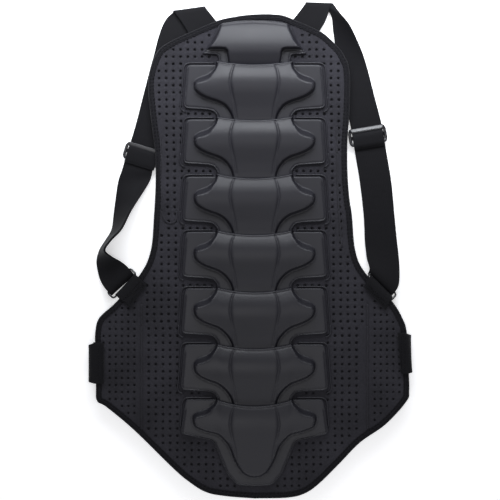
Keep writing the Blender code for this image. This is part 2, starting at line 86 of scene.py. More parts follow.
class Material:
    """A Principled material whose nodes are added with short calls."""

    def __init__(self, name, colour, roughness, **sockets):
        self.data = bpy.data.materials.new(name)
        self.data.use_nodes = True
        self.tree = self.data.node_tree
        self.shader = self.tree.nodes["Principled BSDF"].inputs
        self.shader["Base Color"].default_value = (*colour, 1.0)
        self.shader["Roughness"].default_value = roughness
        for socket, value in sockets.items():
            self.shader[socket.replace("_", " ")].default_value = value
        self.colour = colour
        self.place = self.add("ShaderNodeTexCoord").outputs["Object"]

    def add(self, kind, inputs=None, **settings):
        """A node with its settings, and its inputs as values or as other nodes' outputs."""
        node = self.tree.nodes.new(kind)
        for key, value in settings.items():
            setattr(node, key, value)
        for key, value in (inputs or {}).items():
            if isinstance(value, bpy.types.NodeSocket):
                self.tree.links.new(value, node.inputs[key])
            else:
                node.inputs[key].default_value = value
        return node

    def noise(self, scale, detail=3.0, roughness=0.5):
        """Noise between 0 and 1."""
        inputs = {"Vector": self.place, "Scale": scale, "Detail": detail, "Roughness": roughness}
        return self.add("ShaderNodeTexNoise", inputs).outputs["Fac"]

    def bands(self, pitch, direction="X", vector=None, distortion=0.0):
        """Sine bands between 0 and 1 with a pitch in millimetres."""
        inputs = {"Vector": vector or self.place, "Scale": math.pi / 10 / (pitch * MM),
                  "Distortion": distortion, "Detail": 1.0, "Detail Scale": 1.0}
        node = self.add("ShaderNodeTexWave", inputs, bands_direction=direction, wave_profile="SIN")
        return node.outputs["Fac"]

    def maths(self, operation, first, second):
        return self.add("ShaderNodeMath", {0: first, 1: second}, operation=operation).outputs[0]

    def sum_of(self, first, first_share, second, second_share):
        """Two values added, each times its share."""
        return self.maths("ADD", self.maths("MULTIPLY", first, first_share),
                          self.maths("MULTIPLY", second, second_share))

    def ramp(self, value, low, high, to_low=0.0, to_high=1.0):
        """The value from low to high, mapped to another range and held at its ends."""
        inputs = {"Value": value, "From Min": low, "From Max": high, "To Min": to_low, "To Max": to_high}
        return self.add("ShaderNodeMapRange", inputs).outputs["Result"]

    def shade(self, amount, light, dark):
        """Base colour between two multiples of the material's colour."""
        dark, light = ((*[c * share for c in self.colour], 1.0) for share in (dark, light))
        node = self.add("ShaderNodeMix", {0: amount, 6: dark, 7: light}, data_type="RGBA")
        self.tree.links.new(node.outputs[2], self.shader["Base Color"])

    def rough(self, *ramp):
        """Roughness from a value's ramp."""
        self.tree.links.new(self.ramp(*ramp), self.shader["Roughness"])

    def bump(self, height, distance, strength=1.0):
        """Bump of a depth in millimetres, stacked on any earlier one."""
        inputs = {"Height": height, "Distance": distance * MM, "Strength": strength}
        if self.shader["Normal"].links:
            inputs["Normal"] = self.shader["Normal"].links[0].from_socket
        node = self.add("ShaderNodeBump", inputs)
        self.tree.links.new(node.outputs["Normal"], self.shader["Normal"])


def plate_material():
    """Satin moulded foam plastic with a fine grain and worn, paler edges."""
    made = Material("moulded_plate", (0.0118, 0.0116, 0.0160), 0.45, Specular_IOR_Level=0.38)
    cloud, fine = made.noise(14.0, 4.0), made.noise(1500.0, 2.0)
    worn = made.ramp(made.add("ShaderNodeNewGeometry").outputs["Pointiness"], 0.52, 0.60)
    made.shade(made.sum_of(cloud, 0.7, worn, 0.5), 1.28, 0.86)
    made.rough(made.sum_of(cloud, 1.0, fine, 0.4), 0.4, 1.0, 0.40, 0.52)
    made.bump(fine, 0.05, 0.5)
    made.bump(made.noise(420.0), 0.06, 0.5)
    return made.data


def foam_material():
    """Perforated foam faced with a fine knit."""
    made = Material("perforated_foam", (0.0202, 0.0196, 0.0246), 0.86, Sheen_Weight=0.08,
                    Sheen_Roughness=0.5, Specular_IOR_Level=0.18)
    knit = made.maths("MULTIPLY", made.bands(0.9), made.bands(0.7, "Y"))
    tone = made.sum_of(made.noise(22.0, 5.0), 0.6, made.noise(380.0, 2.0), 0.4)
    made.shade(made.ramp(tone, 0.3, 0.7), 1.5, 0.6)
    made.rough(knit, 0.0, 1.0, 0.78, 0.95)
    made.bump(made.noise(230.0, 4.0), 0.55, 0.6)
    made.bump(knit, 0.12, 0.7)
    return made.data


def strip_material(name, colour, along, across, depth, roughness, sheen):
    """Woven tape or webbing, its weave set by pitches along and across the strip."""
    made = Material(name, colour, roughness, Sheen_Weight=sheen, Sheen_Roughness=0.4,
                    Specular_IOR_Level=0.2)
    uv = made.add("ShaderNodeUVMap", uv_map="strip").outputs["UV"]
    weft = made.maths("MULTIPLY", made.bands(along, "X", uv, 0.6),
                      made.ramp(made.bands(across, "Y", uv), 0.0, 1.0, 0.35, 1.0))
    fuzz = made.noise(900.0)
    tone = made.sum_of(weft, 0.55, fuzz, 0.45)
    made.shade(made.ramp(tone, 0.2, 0.85), 1.55, 0.62)
    made.rough(tone, 0.0, 1.0, roughness - 0.12, roughness + 0.1)
    made.bump(weft, depth, 0.8)
    made.bump(fuzz, 0.08, 0.4)
    return made.data


def pad_material():
    """Air-mesh cover of the comfort pads: small round cells in a knit, with painted shade in the sunken
    ground between them.
    """
    made = Material("comfort_pad", (0.012, 0.012, 0.014), 0.92, Sheen_Weight=0.2, Specular_IOR_Level=0.2)
    cells = made.add("ShaderNodeTexVoronoi", {"Vector": made.place, "Scale": 420.0, "Randomness": 0.25})
    depth = made.ramp(cells.outputs["Distance"], 0.1, 0.5)
    # depth sinks the ground between the cells and also paints it darker: painted shade in the hollows
    made.shade(depth, 0.5, 1.6)
    made.bump(depth, -0.5, 0.9)
    made.bump(made.noise(900.0), 0.1, 0.5)
    return made.data


def thread_material():
    """Bonded thread, twisted."""
    made = Material("thread", (0.0045, 0.0044, 0.0060), 0.7, Specular_IOR_Level=0.2)
    made.shade(made.noise(1200.0, 2.0), 1.4, 0.6)
    made.bump(made.bands(0.5, "DIAGONAL"), 0.08)
    return made.data


def slider_material():
    """Glossy moulded plastic with faint flow marks and scuffs."""
    made = Material("slider_plastic", (0.009, 0.009, 0.011), 0.3, Coat_Weight=0.2,
                    Coat_Roughness=0.2, Specular_IOR_Level=0.5)
    scuff = made.noise(260.0, 6.0)
    made.shade(scuff, 1.5, 0.7)
    made.rough(scuff, 0.35, 0.75, 0.26, 0.42)
    made.bump(made.noise(700.0, 2.0), 0.03, 0.4)
    return made.data


def patch_material():
    """Hook and loop pile."""
    made = Material("hook_and_loop", (0.008, 0.008, 0.009), 0.95, Sheen_Weight=0.2)
    pile = made.noise(1300.0, 4.0, 0.7)
    made.shade(pile, 1.9, 0.4)
    made.bump(pile, 0.6)
    return made.data


def floor_material():
    """Plain pale studio floor."""
    made = Material("floor", (0.93, 0.93, 0.93), 0.6, Specular_IOR_Level=0.2,
                    Emission_Color=(1.0, 1.0, 1.0, 1.0), Emission_Strength=0.42)
    made.shade(made.noise(3.0, 2.0), 1.004, 0.998)
    return made.data


MATERIALS = {
    "moulded_plate": plate_material(),
    "perforated_foam": foam_material(),
    "binding_tape": strip_material("binding_tape", (0.0052, 0.0050, 0.0072), 1.3, 0.8, 0.22, 0.8, 0.08),
    "comfort_pad": pad_material(),
    "strap_webbing": strip_material("strap_webbing", (0.0024, 0.0023, 0.0037), 1.5, 2.1, 0.16, 0.8, 0.02),
    "belt_elastic": strip_material("belt_elastic", (0.0035, 0.0034, 0.0050), 1.1, 3.2, 0.3, 0.8, 0.08),
    "thread": thread_material(),
    "slider_plastic": slider_material(),
    "hook_and_loop": patch_material()}


# ---------------------------------------------------------------- lines and meshes

def make_piece(name, points, faces, material, uvs=None, sharp=None):
    """A closed, smooth-shaded mesh object from points in millimetres, sharp above an angle if given."""
    mesh = bpy.data.meshes.new(name)
    mesh.from_pydata([tuple(c * MM for c in point) for point in points], [], faces)
    mesh.materials.append(MATERIALS[material])
    if uvs is not None:
        layer = mesh.uv_layers.new(name="strip")
        for loop in mesh.loops:
            layer.data[loop.index].uv = [c * MM for c in uvs[loop.vertex_index]]
    mesh.validate()
    mesh.shade_smooth()
    mesh.update()
    work = bmesh.new()
    work.from_mesh(mesh)
    bmesh.ops.delete(work, geom=[v for v in work.verts if not v.link_faces], context="VERTS")
    bmesh.ops.recalc_face_normals(work, faces=work.faces)
    work.to_mesh(mesh)
    work.free()
    if sharp:
        mesh.set_sharp_from_angle(angle=math.radians(sharp))
    piece = bpy.data.objects.new(name, mesh)
    bpy.context.collection.objects.link(piece)
    return piece


def set_down(piece, body=None, stretch=None, nodes=()):
    """Hide the CAD nodes a finished piece replaces, parent it to a body if one is given, and bake its
    transform if a stretch is given.
    """
    nodes = [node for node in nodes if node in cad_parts]
    if nodes:
        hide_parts(*nodes)
    if body:
        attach(piece, body)
    if stretch:
        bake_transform(piece)


def skin(first, rows, size, looped=False):
    """Faces over rows of points, each row a ring of one size, capped at both ends or joined in a loop."""
    faces = []
    for row in range(rows if looped else rows - 1):
        here, there = first + row * size, first + (row + 1) % rows * size
        for index in range(size):
            after = (index + 1) % size
            faces.append((here + index, here + after, there + after, there + index))
    if not looped:
        faces.append(tuple(range(first + size - 1, first - 1, -1)))
        faces.append(tuple(range(first + (rows - 1) * size, first + rows * size)))
    return faces


def curve_through(points, step):
    """Catmull-Rom curve through points of any dimension, at about an even step."""
    points = [np.array(point, float) for point in points]
    padded = [2 * points[0] - points[1], *points, 2 * points[-1] - points[-2]]
    dense = []
    for a, b, c, d in zip(padded, padded[1:], padded[2:], padded[3:]):
        for share in np.arange(0, 1, 0.05):
            dense.append(0.5 * (2 * b + (c - a) * share + (2 * a - 5 * b + 4 * c - d) * share ** 2
                                + (3 * b - a - 3 * c + d) * share ** 3))
    dense.append(points[-1])
    return even_line(dense, step)


def run_lengths(line):
    """The distance along a line to each of its points."""
    return np.concatenate([[0], np.cumsum(np.linalg.norm(np.diff(line, axis=0), axis=1))])


def even_line(points, step):
    """A polyline resampled at an even step, its ends kept."""
    points = np.array(points, float)
    lengths = run_lengths(points)
    places = np.linspace(0, lengths[-1], max(2, int(round(lengths[-1] / step)) + 1))
    return np.stack([np.interp(places, lengths, points[:, axis]) for axis in range(points.shape[1])], 1)


def round_corners(corners, steps=5):
    """Plan outline from (x, y, radius) corners, each corner an arc."""
    outline = []
    for index, (x, y, radius) in enumerate(corners):
        if radius <= 0:
            outline.append((x, y))
            continue
        here = Vector((x, y))
        before = Vector(corners[index - 1][:2]) - here
        after = Vector(corners[(index + 1) % len(corners)][:2]) - here
        reach = min(radius / math.tan(before.angle(after) / 2), before.length * 0.5, after.length * 0.5)
        start, end = here + before.normalized() * reach, here + after.normalized() * reach
        for share in (step / steps for step in range(steps + 1)):
            bent = start * (1 - share) ** 2 + here * 2 * share * (1 - share) + end * share ** 2
            outline.append((bent.x, bent.y))
    return outline


def unit(vectors):
    """Vectors in rows, each scaled to a length of 1."""
    return vectors / (np.linalg.norm(vectors, axis=1)[:, None] + 1e-12)


def left_normals(line, closed=False):
    """Unit normals to the left of a plan line's run."""
    line = np.array(line, float)
    if closed:
        run = np.roll(line, -1, 0) - np.roll(line, 1, 0)
    else:
        run = np.gradient(line, axis=0)
    return unit(np.stack([-run[:, 1], run[:, 0]], 1))


def distance_to(points, line, closed=False):
    """Distance from each point to a plan line, and the nearest place along it in line points."""
    points = np.array(points, float)
    line = np.array(line, float)
    starts = line if closed else line[:-1]
    ends = np.roll(line, -1, 0) if closed else line[1:]
    best = np.full(len(points), 1e9)
    where = np.zeros(len(points))
    for index, (start, end) in enumerate(zip(starts, ends)):
        run = end - start
        share = np.clip((points - start) @ run / max(run @ run, 1e-12), 0, 1)
        away = np.linalg.norm(points - (start + share[:, None] * run), axis=1)
        closer = away < best
        best[closer] = away[closer]
        where[closer] = index + share[closer]
    return best, where


def inside(points, outline):
    """Which points lie inside a closed plan outline."""
    points = np.array(points, float)
    x, y = points[:, 0], points[:, 1]
    result = np.zeros(len(points), bool)
    outline = np.array(outline, float)
    for (x0, y0), (x1, y1) in zip(outline, np.roll(outline, -1, 0)):
        if y0 == y1:
            continue
        crosses = (y0 > y) != (y1 > y)
        result ^= crosses & (x < (x1 - x0) * (y - y0) / (y1 - y0) + x0)
    return result


def well_inside(points, outline, gap):
    """Which points lie inside a closed plan outline, further than a gap from it."""
    return inside(points, outline) & (distance_to(points, outline, True)[0] > gap)


def thin_out(points, spacing, taken):
    """Points that keep their spacing from each other and from those already taken."""
    kept = []
    for x, y in points:
        cell = (int(x // spacing), int(y // spacing))
        near = [taken.get((cell[0] + i, cell[1] + j), ()) for i in (-1, 0, 1) for j in (-1, 0, 1)]
        if all((x - a) ** 2 + (y - b) ** 2 >= spacing ** 2 for group in near for a, b in group):
            taken.setdefault(cell, []).append((x, y))
            kept.append((x, y))
    return kept


def fill_outline(outline, extra, edges=()):
    """Triangles over an outline and its extra points: (points, triangles, outline numbers)."""
    points = [Vector(point) for point in [*outline, *extra]]
    made, _, triangles, origins, *_ = delaunay_2d_cdt(points, edges, [list(range(len(outline)))], 1, 1e-5)
    number = {source: index for index, sources in enumerate(origins) for source in sources}
    return [tuple(point) for point in made], triangles, number


def close_below(points, faces, rim, outline, extra, level):
    """Walls down from a rim of points over an outline, and the underside at the level of each place."""
    under, triangles, place = fill_outline(outline, extra)
    start, size = len(points), len(rim)
    points.extend((x, y, level(x, y)) for x, y in under)
    faces.extend(tuple(start + corner for corner in triangle) for triangle in triangles)
    low = [start + place[index] for index in range(size)]
    faces.extend((rim[i], rim[(i + 1) % size], low[(i + 1) % size], low[i]) for i in range(size))


def circle(count, start=0.0):
    """Cosines and sines of even angles round a circle, from one in degrees."""
    angles = [math.radians(start + 360 / count * index) for index in range(count)]
    return [(math.cos(angle), math.sin(angle)) for angle in angles]


def smooth_step(value):
    """0 to 1 with soft ends, over values from 0 to 1."""
    value = np.clip(value, 0, 1)
    return value * value * (3 - 2 * value)


# ---------------------------------------------------------------- plates

# For each plate: its own shift of the top line, and the rise of its lip's ends and of its flanges
TOP_SHIFT = {2: -1.0, 3: 1.0, 4: 0.0, 5: 1.0, 6: 1.0, 7: 2.0, 8: 2.2}
LIP_SAG = {2: 3.6, 3: 3.8, 4: 4.8, 5: 4.8, 6: 5.0, 7: 5.2, 8: 6.6}
FLANGE_RISE = {2: -1.6, 3: -0.4, 4: 0.6, 5: 2.0, 6: 3.0, 7: 3.4, 8: 6.0}
TYPICAL_FLANGE = [(82.6, 0.9, 6.5), (87.2, -53.2, 7.0), (56.5, -55.2, 6.0), (50.2, -56.9, 5.0),
                  (45.8, -62.5, 6.0), (44.8, -75.4, 1.5), (0.0, -75.4, 0.0)]
TAIL_FLANGE = [(84.5, 0.9, 6.0), (90.6, -38.5, 5.0), (51.0, -47.0, 9.0), (34.0, -84.0, 16.0),
               (22.0, -98.0, 14.0), (0.0, -99.2, 0.0)]
TOP_HALF = [(0.0, 51.8), (12.0, 51.6), (24.0, 50.6), (34.0, 49.0),
            *round_corners([(43.6, 47.0, 4.0), (51.5, 28.0, 20.0), (61.0, 15.0, 3.0),
                            (64.5, 11.4, 1.5), (44.6, 10.2, 3.5), (43.2, -5.6, 2.0),
                            (0.0, -5.6, 0.0), (0.0, 51.8, 0.0)])[:-1]]

# Edge of the raised crown, from the lip down: x, y from the top line, width of its slope
TYPICAL_CROWN = [(46.9, 1.0, 2.6), (48.4, -3.2, 2.8), (52.6, -8.0, 4.0), (58.6, -11.4, 8.0),
                 (68.0, -14.8, 8.5), (73.4, -19.8, 5.5), (74.4, -26.0, 3.4), (71.8, -32.8, 3.0),
                 (64.0, -38.8, 3.0), (54.3, -43.0, 3.0), (45.0, -46.2, 3.0), (37.0, -51.0, 3.0),
                 (31.0, -58.4, 3.0), (27.4, -67.0, 2.6), (26.6, -76.0, 2.4)]
TAIL_CROWN = [(46.9, 1.0, 2.6), (48.4, -3.2, 2.8), (53.0, -7.2, 4.0), (60.0, -10.2, 8.0),
              (70.0, -13.4, 7.5), (75.4, -18.6, 4.6), (75.2, -25.0, 3.0), (71.4, -31.4, 3.0),
              (59.0, -36.2, 3.0), (45.0, -39.2, 3.0), (37.0, -43.6, 3.0), (31.0, -51.6, 3.0),
              (24.4, -68.0, 3.0), (16.6, -81.0, 3.2), (8.0, -87.4, 3.4), (0.0, -89.0, 3.4)]
TOP_CROWN = [(43.0, 46.0, 4.0), (50.8, 28.0, 4.0), (57.6, 18.4, 3.0), (58.0, 16.8, 2.2),
             (40.0, 16.6, 2.2), (34.6, 15.0, 2.2), (33.2, 9.0, 2.2), (32.0, 0.0, 2.2), (31.2, -7.0, 2.2)]
TYPICAL_HEIGHTS = [(6, 6.2), (2, 6.8), (-2, 8.2), (-8, 10.7), (-14, 12.6), (-20, 13.5), (-27, 13.4),
                   (-34, 12.1), (-44, 9.2), (-53, 6.6), (-61, 4.8), (-67, 3.6), (-77, 3.0)]
TAIL_HEIGHTS = [(8, 7.0), (2, 8.2), (-4, 9.8), (-11, 11.6), (-19, 12.6), (-28, 12.2), (-39, 10.6),
                (-52, 8.8), (-70, 6.6), (-82, 4.8), (-91, 3.2)]
TOP_HEIGHTS = [(53, 3.2), (50, 4.6), (46, 6.6), (40, 8.8), (33, 10.6), (26, 11.8), (19, 12.2),
               (13, 11.4), (7, 8.8), (2, 5.8), (-3, 4.0), (-7, 3.2)]
CREASE = [(25.0, -1.5), (28.2, -11.0), (29.8, -23.0), (28.2, -33.0), (25.8, -43.0), (23.4, -54.0),
          (22.0, -66.0)]


def flange_lift(x, y, number):
    """How far a plate's flange and crown lobes are raised towards the neck, from plan values."""
    across = smooth_step((np.abs(x) - 38.0) / 10.0)
    down = 0.5 + 0.5 * smooth_step((np.asarray(y) + 45.0) / 40.0)
    return FLANGE_RISE.get(number, 0.0) * across * down


def half_outline(number):
    """Right half of a plate's outline below its top line, from the top middle down."""
    if number == 1:
        return TOP_HALF
    sag, rise = LIP_SAG[number], FLANGE_RISE[number]
    growth = 0.7 * (number - 2) if number < 8 else 0.0
    lip = [(x, sag * (x / 42.0) ** 2 - 0.9) for x in range(0, 43, 6)]
    flange = [(x + growth * smooth_step((x - 50) / 20), y + flange_lift(x, y, number), radius)
              for x, y, radius in (TAIL_FLANGE if number == 8 else TYPICAL_FLANGE)]
    corner = max(sag * 1.16 - 0.9, rise + 1.6)
    return [*lip, *round_corners([(46.8, corner, 2.0), (47.6, 0.9 + rise, 0.8), *flange,
                                  (0.0, -0.9, 0.0)])[:-1]]


def plate_plan(number):
    """Top line, outline, crown edge, crown heights and crease of one plate, in place."""
    base = FIRST_LINE - PITCH * max(number - 2, 0) + TOP_SHIFT.get(number, 0.0)
    crown, heights = {1: (TOP_CROWN, TOP_HEIGHTS), 8: (TAIL_CROWN, TAIL_HEIGHTS)}.get(
        number, (TYPICAL_CROWN, TYPICAL_HEIGHTS))
    half = [(x, y + base) for x, y in half_outline(number)]
    outline = even_line([*half, *[(-x, y) for x, y in reversed(half) if x > 1e-6], half[0]], 1.5)[:-1]
    crown = curve_through([(x, y + base + flange_lift(x, y, number), slope) for x, y, slope in crown], 1.2)
    heights = sorted((y + base, height) for y, height in heights)
    crease = curve_through([(x, y + base) for x, y in CREASE], 1.5) if number > 1 else None
    return base, outline, crown, heights, crease


# Distance in from a plate's edge, and height over its upper face: a bead, a lip and a plain edge
EDGE_PROFILE = ((0.0, -1.6), (0.25, -0.7), (0.6, -0.1), (0.95, 0.05), (1.3, -0.05), (1.8, -0.75),
                (2.2, -0.85), (2.8, -0.3), (3.5, 0.0))
LIP_PROFILE = ((0.0, -1.3), (0.4, -0.4), (0.9, 0.0), (1.5, 0.1), (2.0, -0.05), (2.6, -0.5),
               (3.1, -0.45), (3.9, 0.0))
PLAIN_PROFILE = ((0.0, -1.5), (0.3, -0.8), (0.8, -0.35), (1.6, -0.1), (2.6, 0.0))

PLATE_PLANS = {number: plate_plan(number) for number in range(1, 9)}


def plate_height(points, number, on_rim):
    """Height of a plate's upper face over plan points."""
    base, outline, crown, heights, crease = PLATE_PLANS[number]
    x, y = points[:, 0], points[:, 1]
    folded = np.stack([np.abs(x), y], 1)
    rim = distance_to(points, outline, True)[0]
    rim[on_rim] = 0.0
    levels, values = zip(*heights)
    level = y - flange_lift(x, y - base, number)
    hump = sum(np.interp(level + shift, levels, values) for shift in (0, 1.5, -1.5, 3.0, -3.0)) / 5
    away, where = distance_to(folded, crown[:, :2])
    slope = np.interp(where, range(len(crown)), crown[:, 2])
    high = crown[0, 1] + 60
    within = inside(folded, [*crown[:, :2], (0, crown[-1, 1]), (0, high), (crown[0, 0], high)])
    raised = hump * smooth_step(np.where(within, away / slope, 0.0))
    dome = 1.0 - 0.10 * (np.abs(x) / 75) ** 2
    groove = band = 0.0
    if crease is not None:
        cut, along = distance_to(folded, crease)
        fade = 1 - 0.6 * smooth_step(along / len(crease) * 1.1 - 0.2)
        groove = 1.15 * fade * np.exp(-(cut / 1.1) ** 2) * within
        band = 0.5 * smooth_step((28.5 - np.abs(x)) / 3.5) * within
    foot = 0.75 * np.exp(-((away - 0.2) / 1.0) ** 2) * smooth_step((rim - 2.0) / 2.0)
    foot = foot * smooth_step((6.0 - slope) / 2.5)
    top = FLANGE_TOP + raised * dome + band - groove - foot
    bead, lip_round, plain = (np.interp(rim, *zip(*profile))
                              for profile in (EDGE_PROFILE, LIP_PROFILE, PLAIN_PROFILE))
    if number > 1:
        bead = bead + (plain - bead) * smooth_step((y - base + 7.0) / 4.0)
    lipped = (np.abs(x) < LIP_HALF) & (y > base - LIP_DEEP) & (number > 1)
    crowned = smooth_step(raised / 3.0)
    return top + np.where(lipped, lip_round, bead * (1 - crowned) + lip_round * crowned)


def make_plate(number):
    """One moulded plate: bead round the flange, steep-sided crown, creases, lip and tongue."""
    base, outline, crown, _, crease = PLATE_PLANS[number]
    taken, extra = {}, []
    thin_out(outline, 0.05, taken)

    def add_points(plan_points, edge_gap, spacing):
        fits = plan_points[well_inside(plan_points, outline, edge_gap)]
        extra.extend(thin_out(fits, spacing, taken))

    normals = left_normals(outline, True)
    if sum(a[0] * b[1] - b[0] * a[1] for a, b in zip(outline, np.roll(outline, -1, 0))) < 0:
        normals = -normals
    for offset, _ in EDGE_PROFILE[1:]:
        add_points(outline + normals * offset, offset - 0.06, 0.24)
    for line, offsets in ((crown[:, :2], (0.0, 0.5, 1.1, 1.7, 2.4, 3.4, 5.0, 7.5, 10.0)),
                          (crease, (0.0, 0.9, -0.9, 1.9, -1.9))):
        for offset in offsets if line is not None else ():
            ring = line - left_normals(line) * offset
            for sign in (1, -1):
                add_points(ring * (sign, 1), 0.5, 0.42)
    low, high = outline.min(0), outline.max(0)
    add_points(np.array([(x + (row % 2) * 1.1, y) for row, y in enumerate(np.arange(low[1], high[1], 1.9))
                         for x in np.arange(low[0], high[0], 2.2)]), 1.0, 1.15)
    flat, triangles, place = fill_outline(outline, extra)
    flat = np.array(flat)
    rim = [place[index] for index in range(len(outline))]
    on_rim = np.zeros(len(flat), bool)
    on_rim[rim] = True
    points = [(*spot, z) for spot, z in zip(flat, plate_height(flat, number, on_rim))]
    faces = [tuple(triangle) for triangle in triangles]

    def underside(x, y):
        under_lip = number > 1 and abs(x) < LIP_HALF and y > base - LIP_DEEP
        return LIP_LOW if under_lip else PLATE_LOW

    close_below(points, faces, rim, flat[rim], [], underside)
    piece = make_piece(f"plate_{number}", points, faces, "moulded_plate")
    set_down(piece, PLATE_BODIES[number - 1], nodes=[f"spine_plate_{number}"])


# ---------------------------------------------------------------- panel

EDGE = {
    "left": (
        (0, 287.8), (-20, 285.5), (-46, 279.7), (-83, 264), (-104, 254), (-118, 243), (-127, 222),
        (-130, 198), (-125.7, 154), (-121.5, 120), (-120.8, 82), (-122.7, 43), (-126.6, 0),
        (-139.3, -29), (-168.5, -63), (-189, -82), (-194.2, -98), (-194.7, -120), (-193.7, -165),
        (-192.5, -184), (-180.5, -192), (-147, -220), (-100, -266), (-80, -283), (-59.5, -295.6),
        (-36, -300.5), (0, -303.4)),
    "right": (
        (0, 287.8), (18, 288), (34, 286.5), (47, 281.7), (80, 267), (96, 254), (108, 240),
        (116, 218), (116, 169), (113.4, 130), (113.8, 91), (116, 62), (119, 42.5), (123, 0),
        (134.6, -27), (167.6, -62), (181, -84), (186, -101), (188, -140), (189, -171),
        (185.5, -185), (160, -213), (129, -235), (103.5, -261), (78, -286), (60.6, -297.6),
        (40, -302.4), (0, -303.4))}
WING_SEAM = 138.0
WING_PITCH = (7.55, 8.55)
EDGE_LINES = {side: curve_through(EDGE[side], 1.1) for side in SIDES}


def shifted_in(side, distance):
    """The panel's edge on one side, moved in towards the middle."""
    line = EDGE_LINES[side]
    moved = line + left_normals(line) * distance * (1 if side == "left" else -1)
    moved[0] = (0.0, line[0, 1] - distance)
    moved[-1] = (0.0, line[-1, 1] + distance)
    return moved


def cut_line(line, top, bottom):
    """The stretch of a falling line between two heights along Y, with new end points there."""
    kept = [tuple(line[0])] if line[0][1] < top else []
    for start, end in zip(line, line[1:]):
        for level in (top, bottom):
            if start[1] > level >= end[1]:
                share = (start[1] - level) / (start[1] - end[1])
                kept.append(tuple(np.array(start) + (np.array(end) - np.array(start)) * share))
        if bottom < end[1] < top:
            kept.append(tuple(end))
    return kept


def clip_sideways(outline, limit, sign):
    """The part of a plan outline where sign * x is less than the limit."""
    kept = []
    for start, end in zip(outline, outline[1:] + outline[:1]):
        within = sign * start[0] < limit
        if within:
            kept.append(start)
        if within != (sign * end[0] < limit):
            share = (limit - sign * start[0]) / (sign * (end[0] - start[0]))
            kept.append((sign * limit, start[1] + (end[1] - start[1]) * share))
    return kept


def panel_height(x, y):
    """The panel's upper face: slightly quilted, lower along the seams."""
    waves = 0.35 * noise.noise(Vector((x * 0.018, y * 0.022, 0.0)))
    waves += 0.22 * noise.noise(Vector((x * 0.07, y * 0.06, 5.0)))
    dip = 1.2 * math.exp(-((abs(x) - WING_SEAM) / 3.0) ** 2) if y < -60 else 0.0
    return PANEL_TOP + waves - dip


def hole_is_shown(centres, margin):
    """Which hole places are clear of every plate's flange, and in the notches nearly so."""
    clear = np.ones(len(centres), bool)
    wanted = margin - 1.8 * (np.abs(centres[:, 0]) < 80)
    for _, outline, _, _, _ in PLATE_PLANS.values():
        near = np.flatnonzero((np.abs(centres[:, 1] - np.mean(outline[:, 1])) < 70) & clear)
        if len(near):
            away = distance_to(centres[near], outline, True)[0]
            clear[near[(away < wanted[near]) | inside(centres[near], outline)]] = False
    return clear


# A hole's cell: the lattice points round it, a third of the pitch apart, and its cup's rings as
# (share of the radius, depth)
CELL_RING = ((0, 0), (1, 0), (2, 0), (3, 0), (3, 1), (3, 2), (3, 3), (2, 3), (1, 3), (0, 3),
             (0, 2), (0, 1))
CUP_RINGS = ((1.5, 0.06), (1.12, 0.3), (0.98, 0.9), (0.92, 3.4))


def make_cups(cells, spot, radius):
    """Cells with round cups: their points and faces, and their lattice points and open edges."""
    points, faces, lattice, stair = [], [], {}, set()
    for i, j in cells:
        ring = [(3 * i + a, 3 * j + b) for a, b in CELL_RING]
        for key in ring:
            if key not in lattice:
                lattice[key] = len(points)
                points.append((*spot(*key), panel_height(*spot(*key))))
        numbers = [lattice[key] for key in ring]
        x, y = spot(3 * i + 1.5, 3 * j + 1.5)
        level = panel_height(x, y)
        shift = random.uniform(-0.15, 0.15)
        size = radius * random.uniform(0.93, 1.07)
        for reach, drop in CUP_RINGS:
            first = len(points)
            for step, (cosine, sine) in enumerate(circle(12, -135)):
                after = (step + 1) % 12
                points.append((x + shift + reach * size * cosine, y + reach * size * sine, level - drop))
                faces.append((numbers[step], numbers[after], first + after, first + step))
            numbers = list(range(first, first + 12))
        faces.append(tuple(numbers))
        for step, (di, dj) in ((0, (0, -1)), (3, (1, 0)), (6, (0, 1)), (9, (-1, 0))):
            if (i + di, j + dj) not in cells:
                stair.update((ring[step + part], ring[(step + part + 1) % 12]) for part in range(3))
    return points, faces, lattice, stair


def prepare_outline(outline, cuts, columns):
    """The outline with points along its long edges and at the cuts' lattice columns, and its sides."""
    fine, sides = [], [[]]
    for start, end in zip(outline, outline[1:] + outline[:1]):
        if math.dist(start, end) < 1e-4:
            continue
        on_cut = [cut for cut in cuts if abs(start[1] - cut) < 1e-6 and abs(end[1] - cut) < 1e-6]
        if on_cut:
            low, high = sorted((start[0], end[0]))
            between = [x for x in columns if low + 0.05 < x < high - 0.05]
            fine += [start, *[(x, on_cut[0]) for x in between[::1 if start[0] < end[0] else -1]]]
            sides.append([])
        else:
            shares = np.arange(max(1, int(math.dist(start, end) // 4.0)))[:, None]
            fine += [tuple(spot) for spot in start + np.subtract(end, start) * shares / len(shares)]
            sides[-1] += [start, end]
    return fine, [side for side in sides if side]


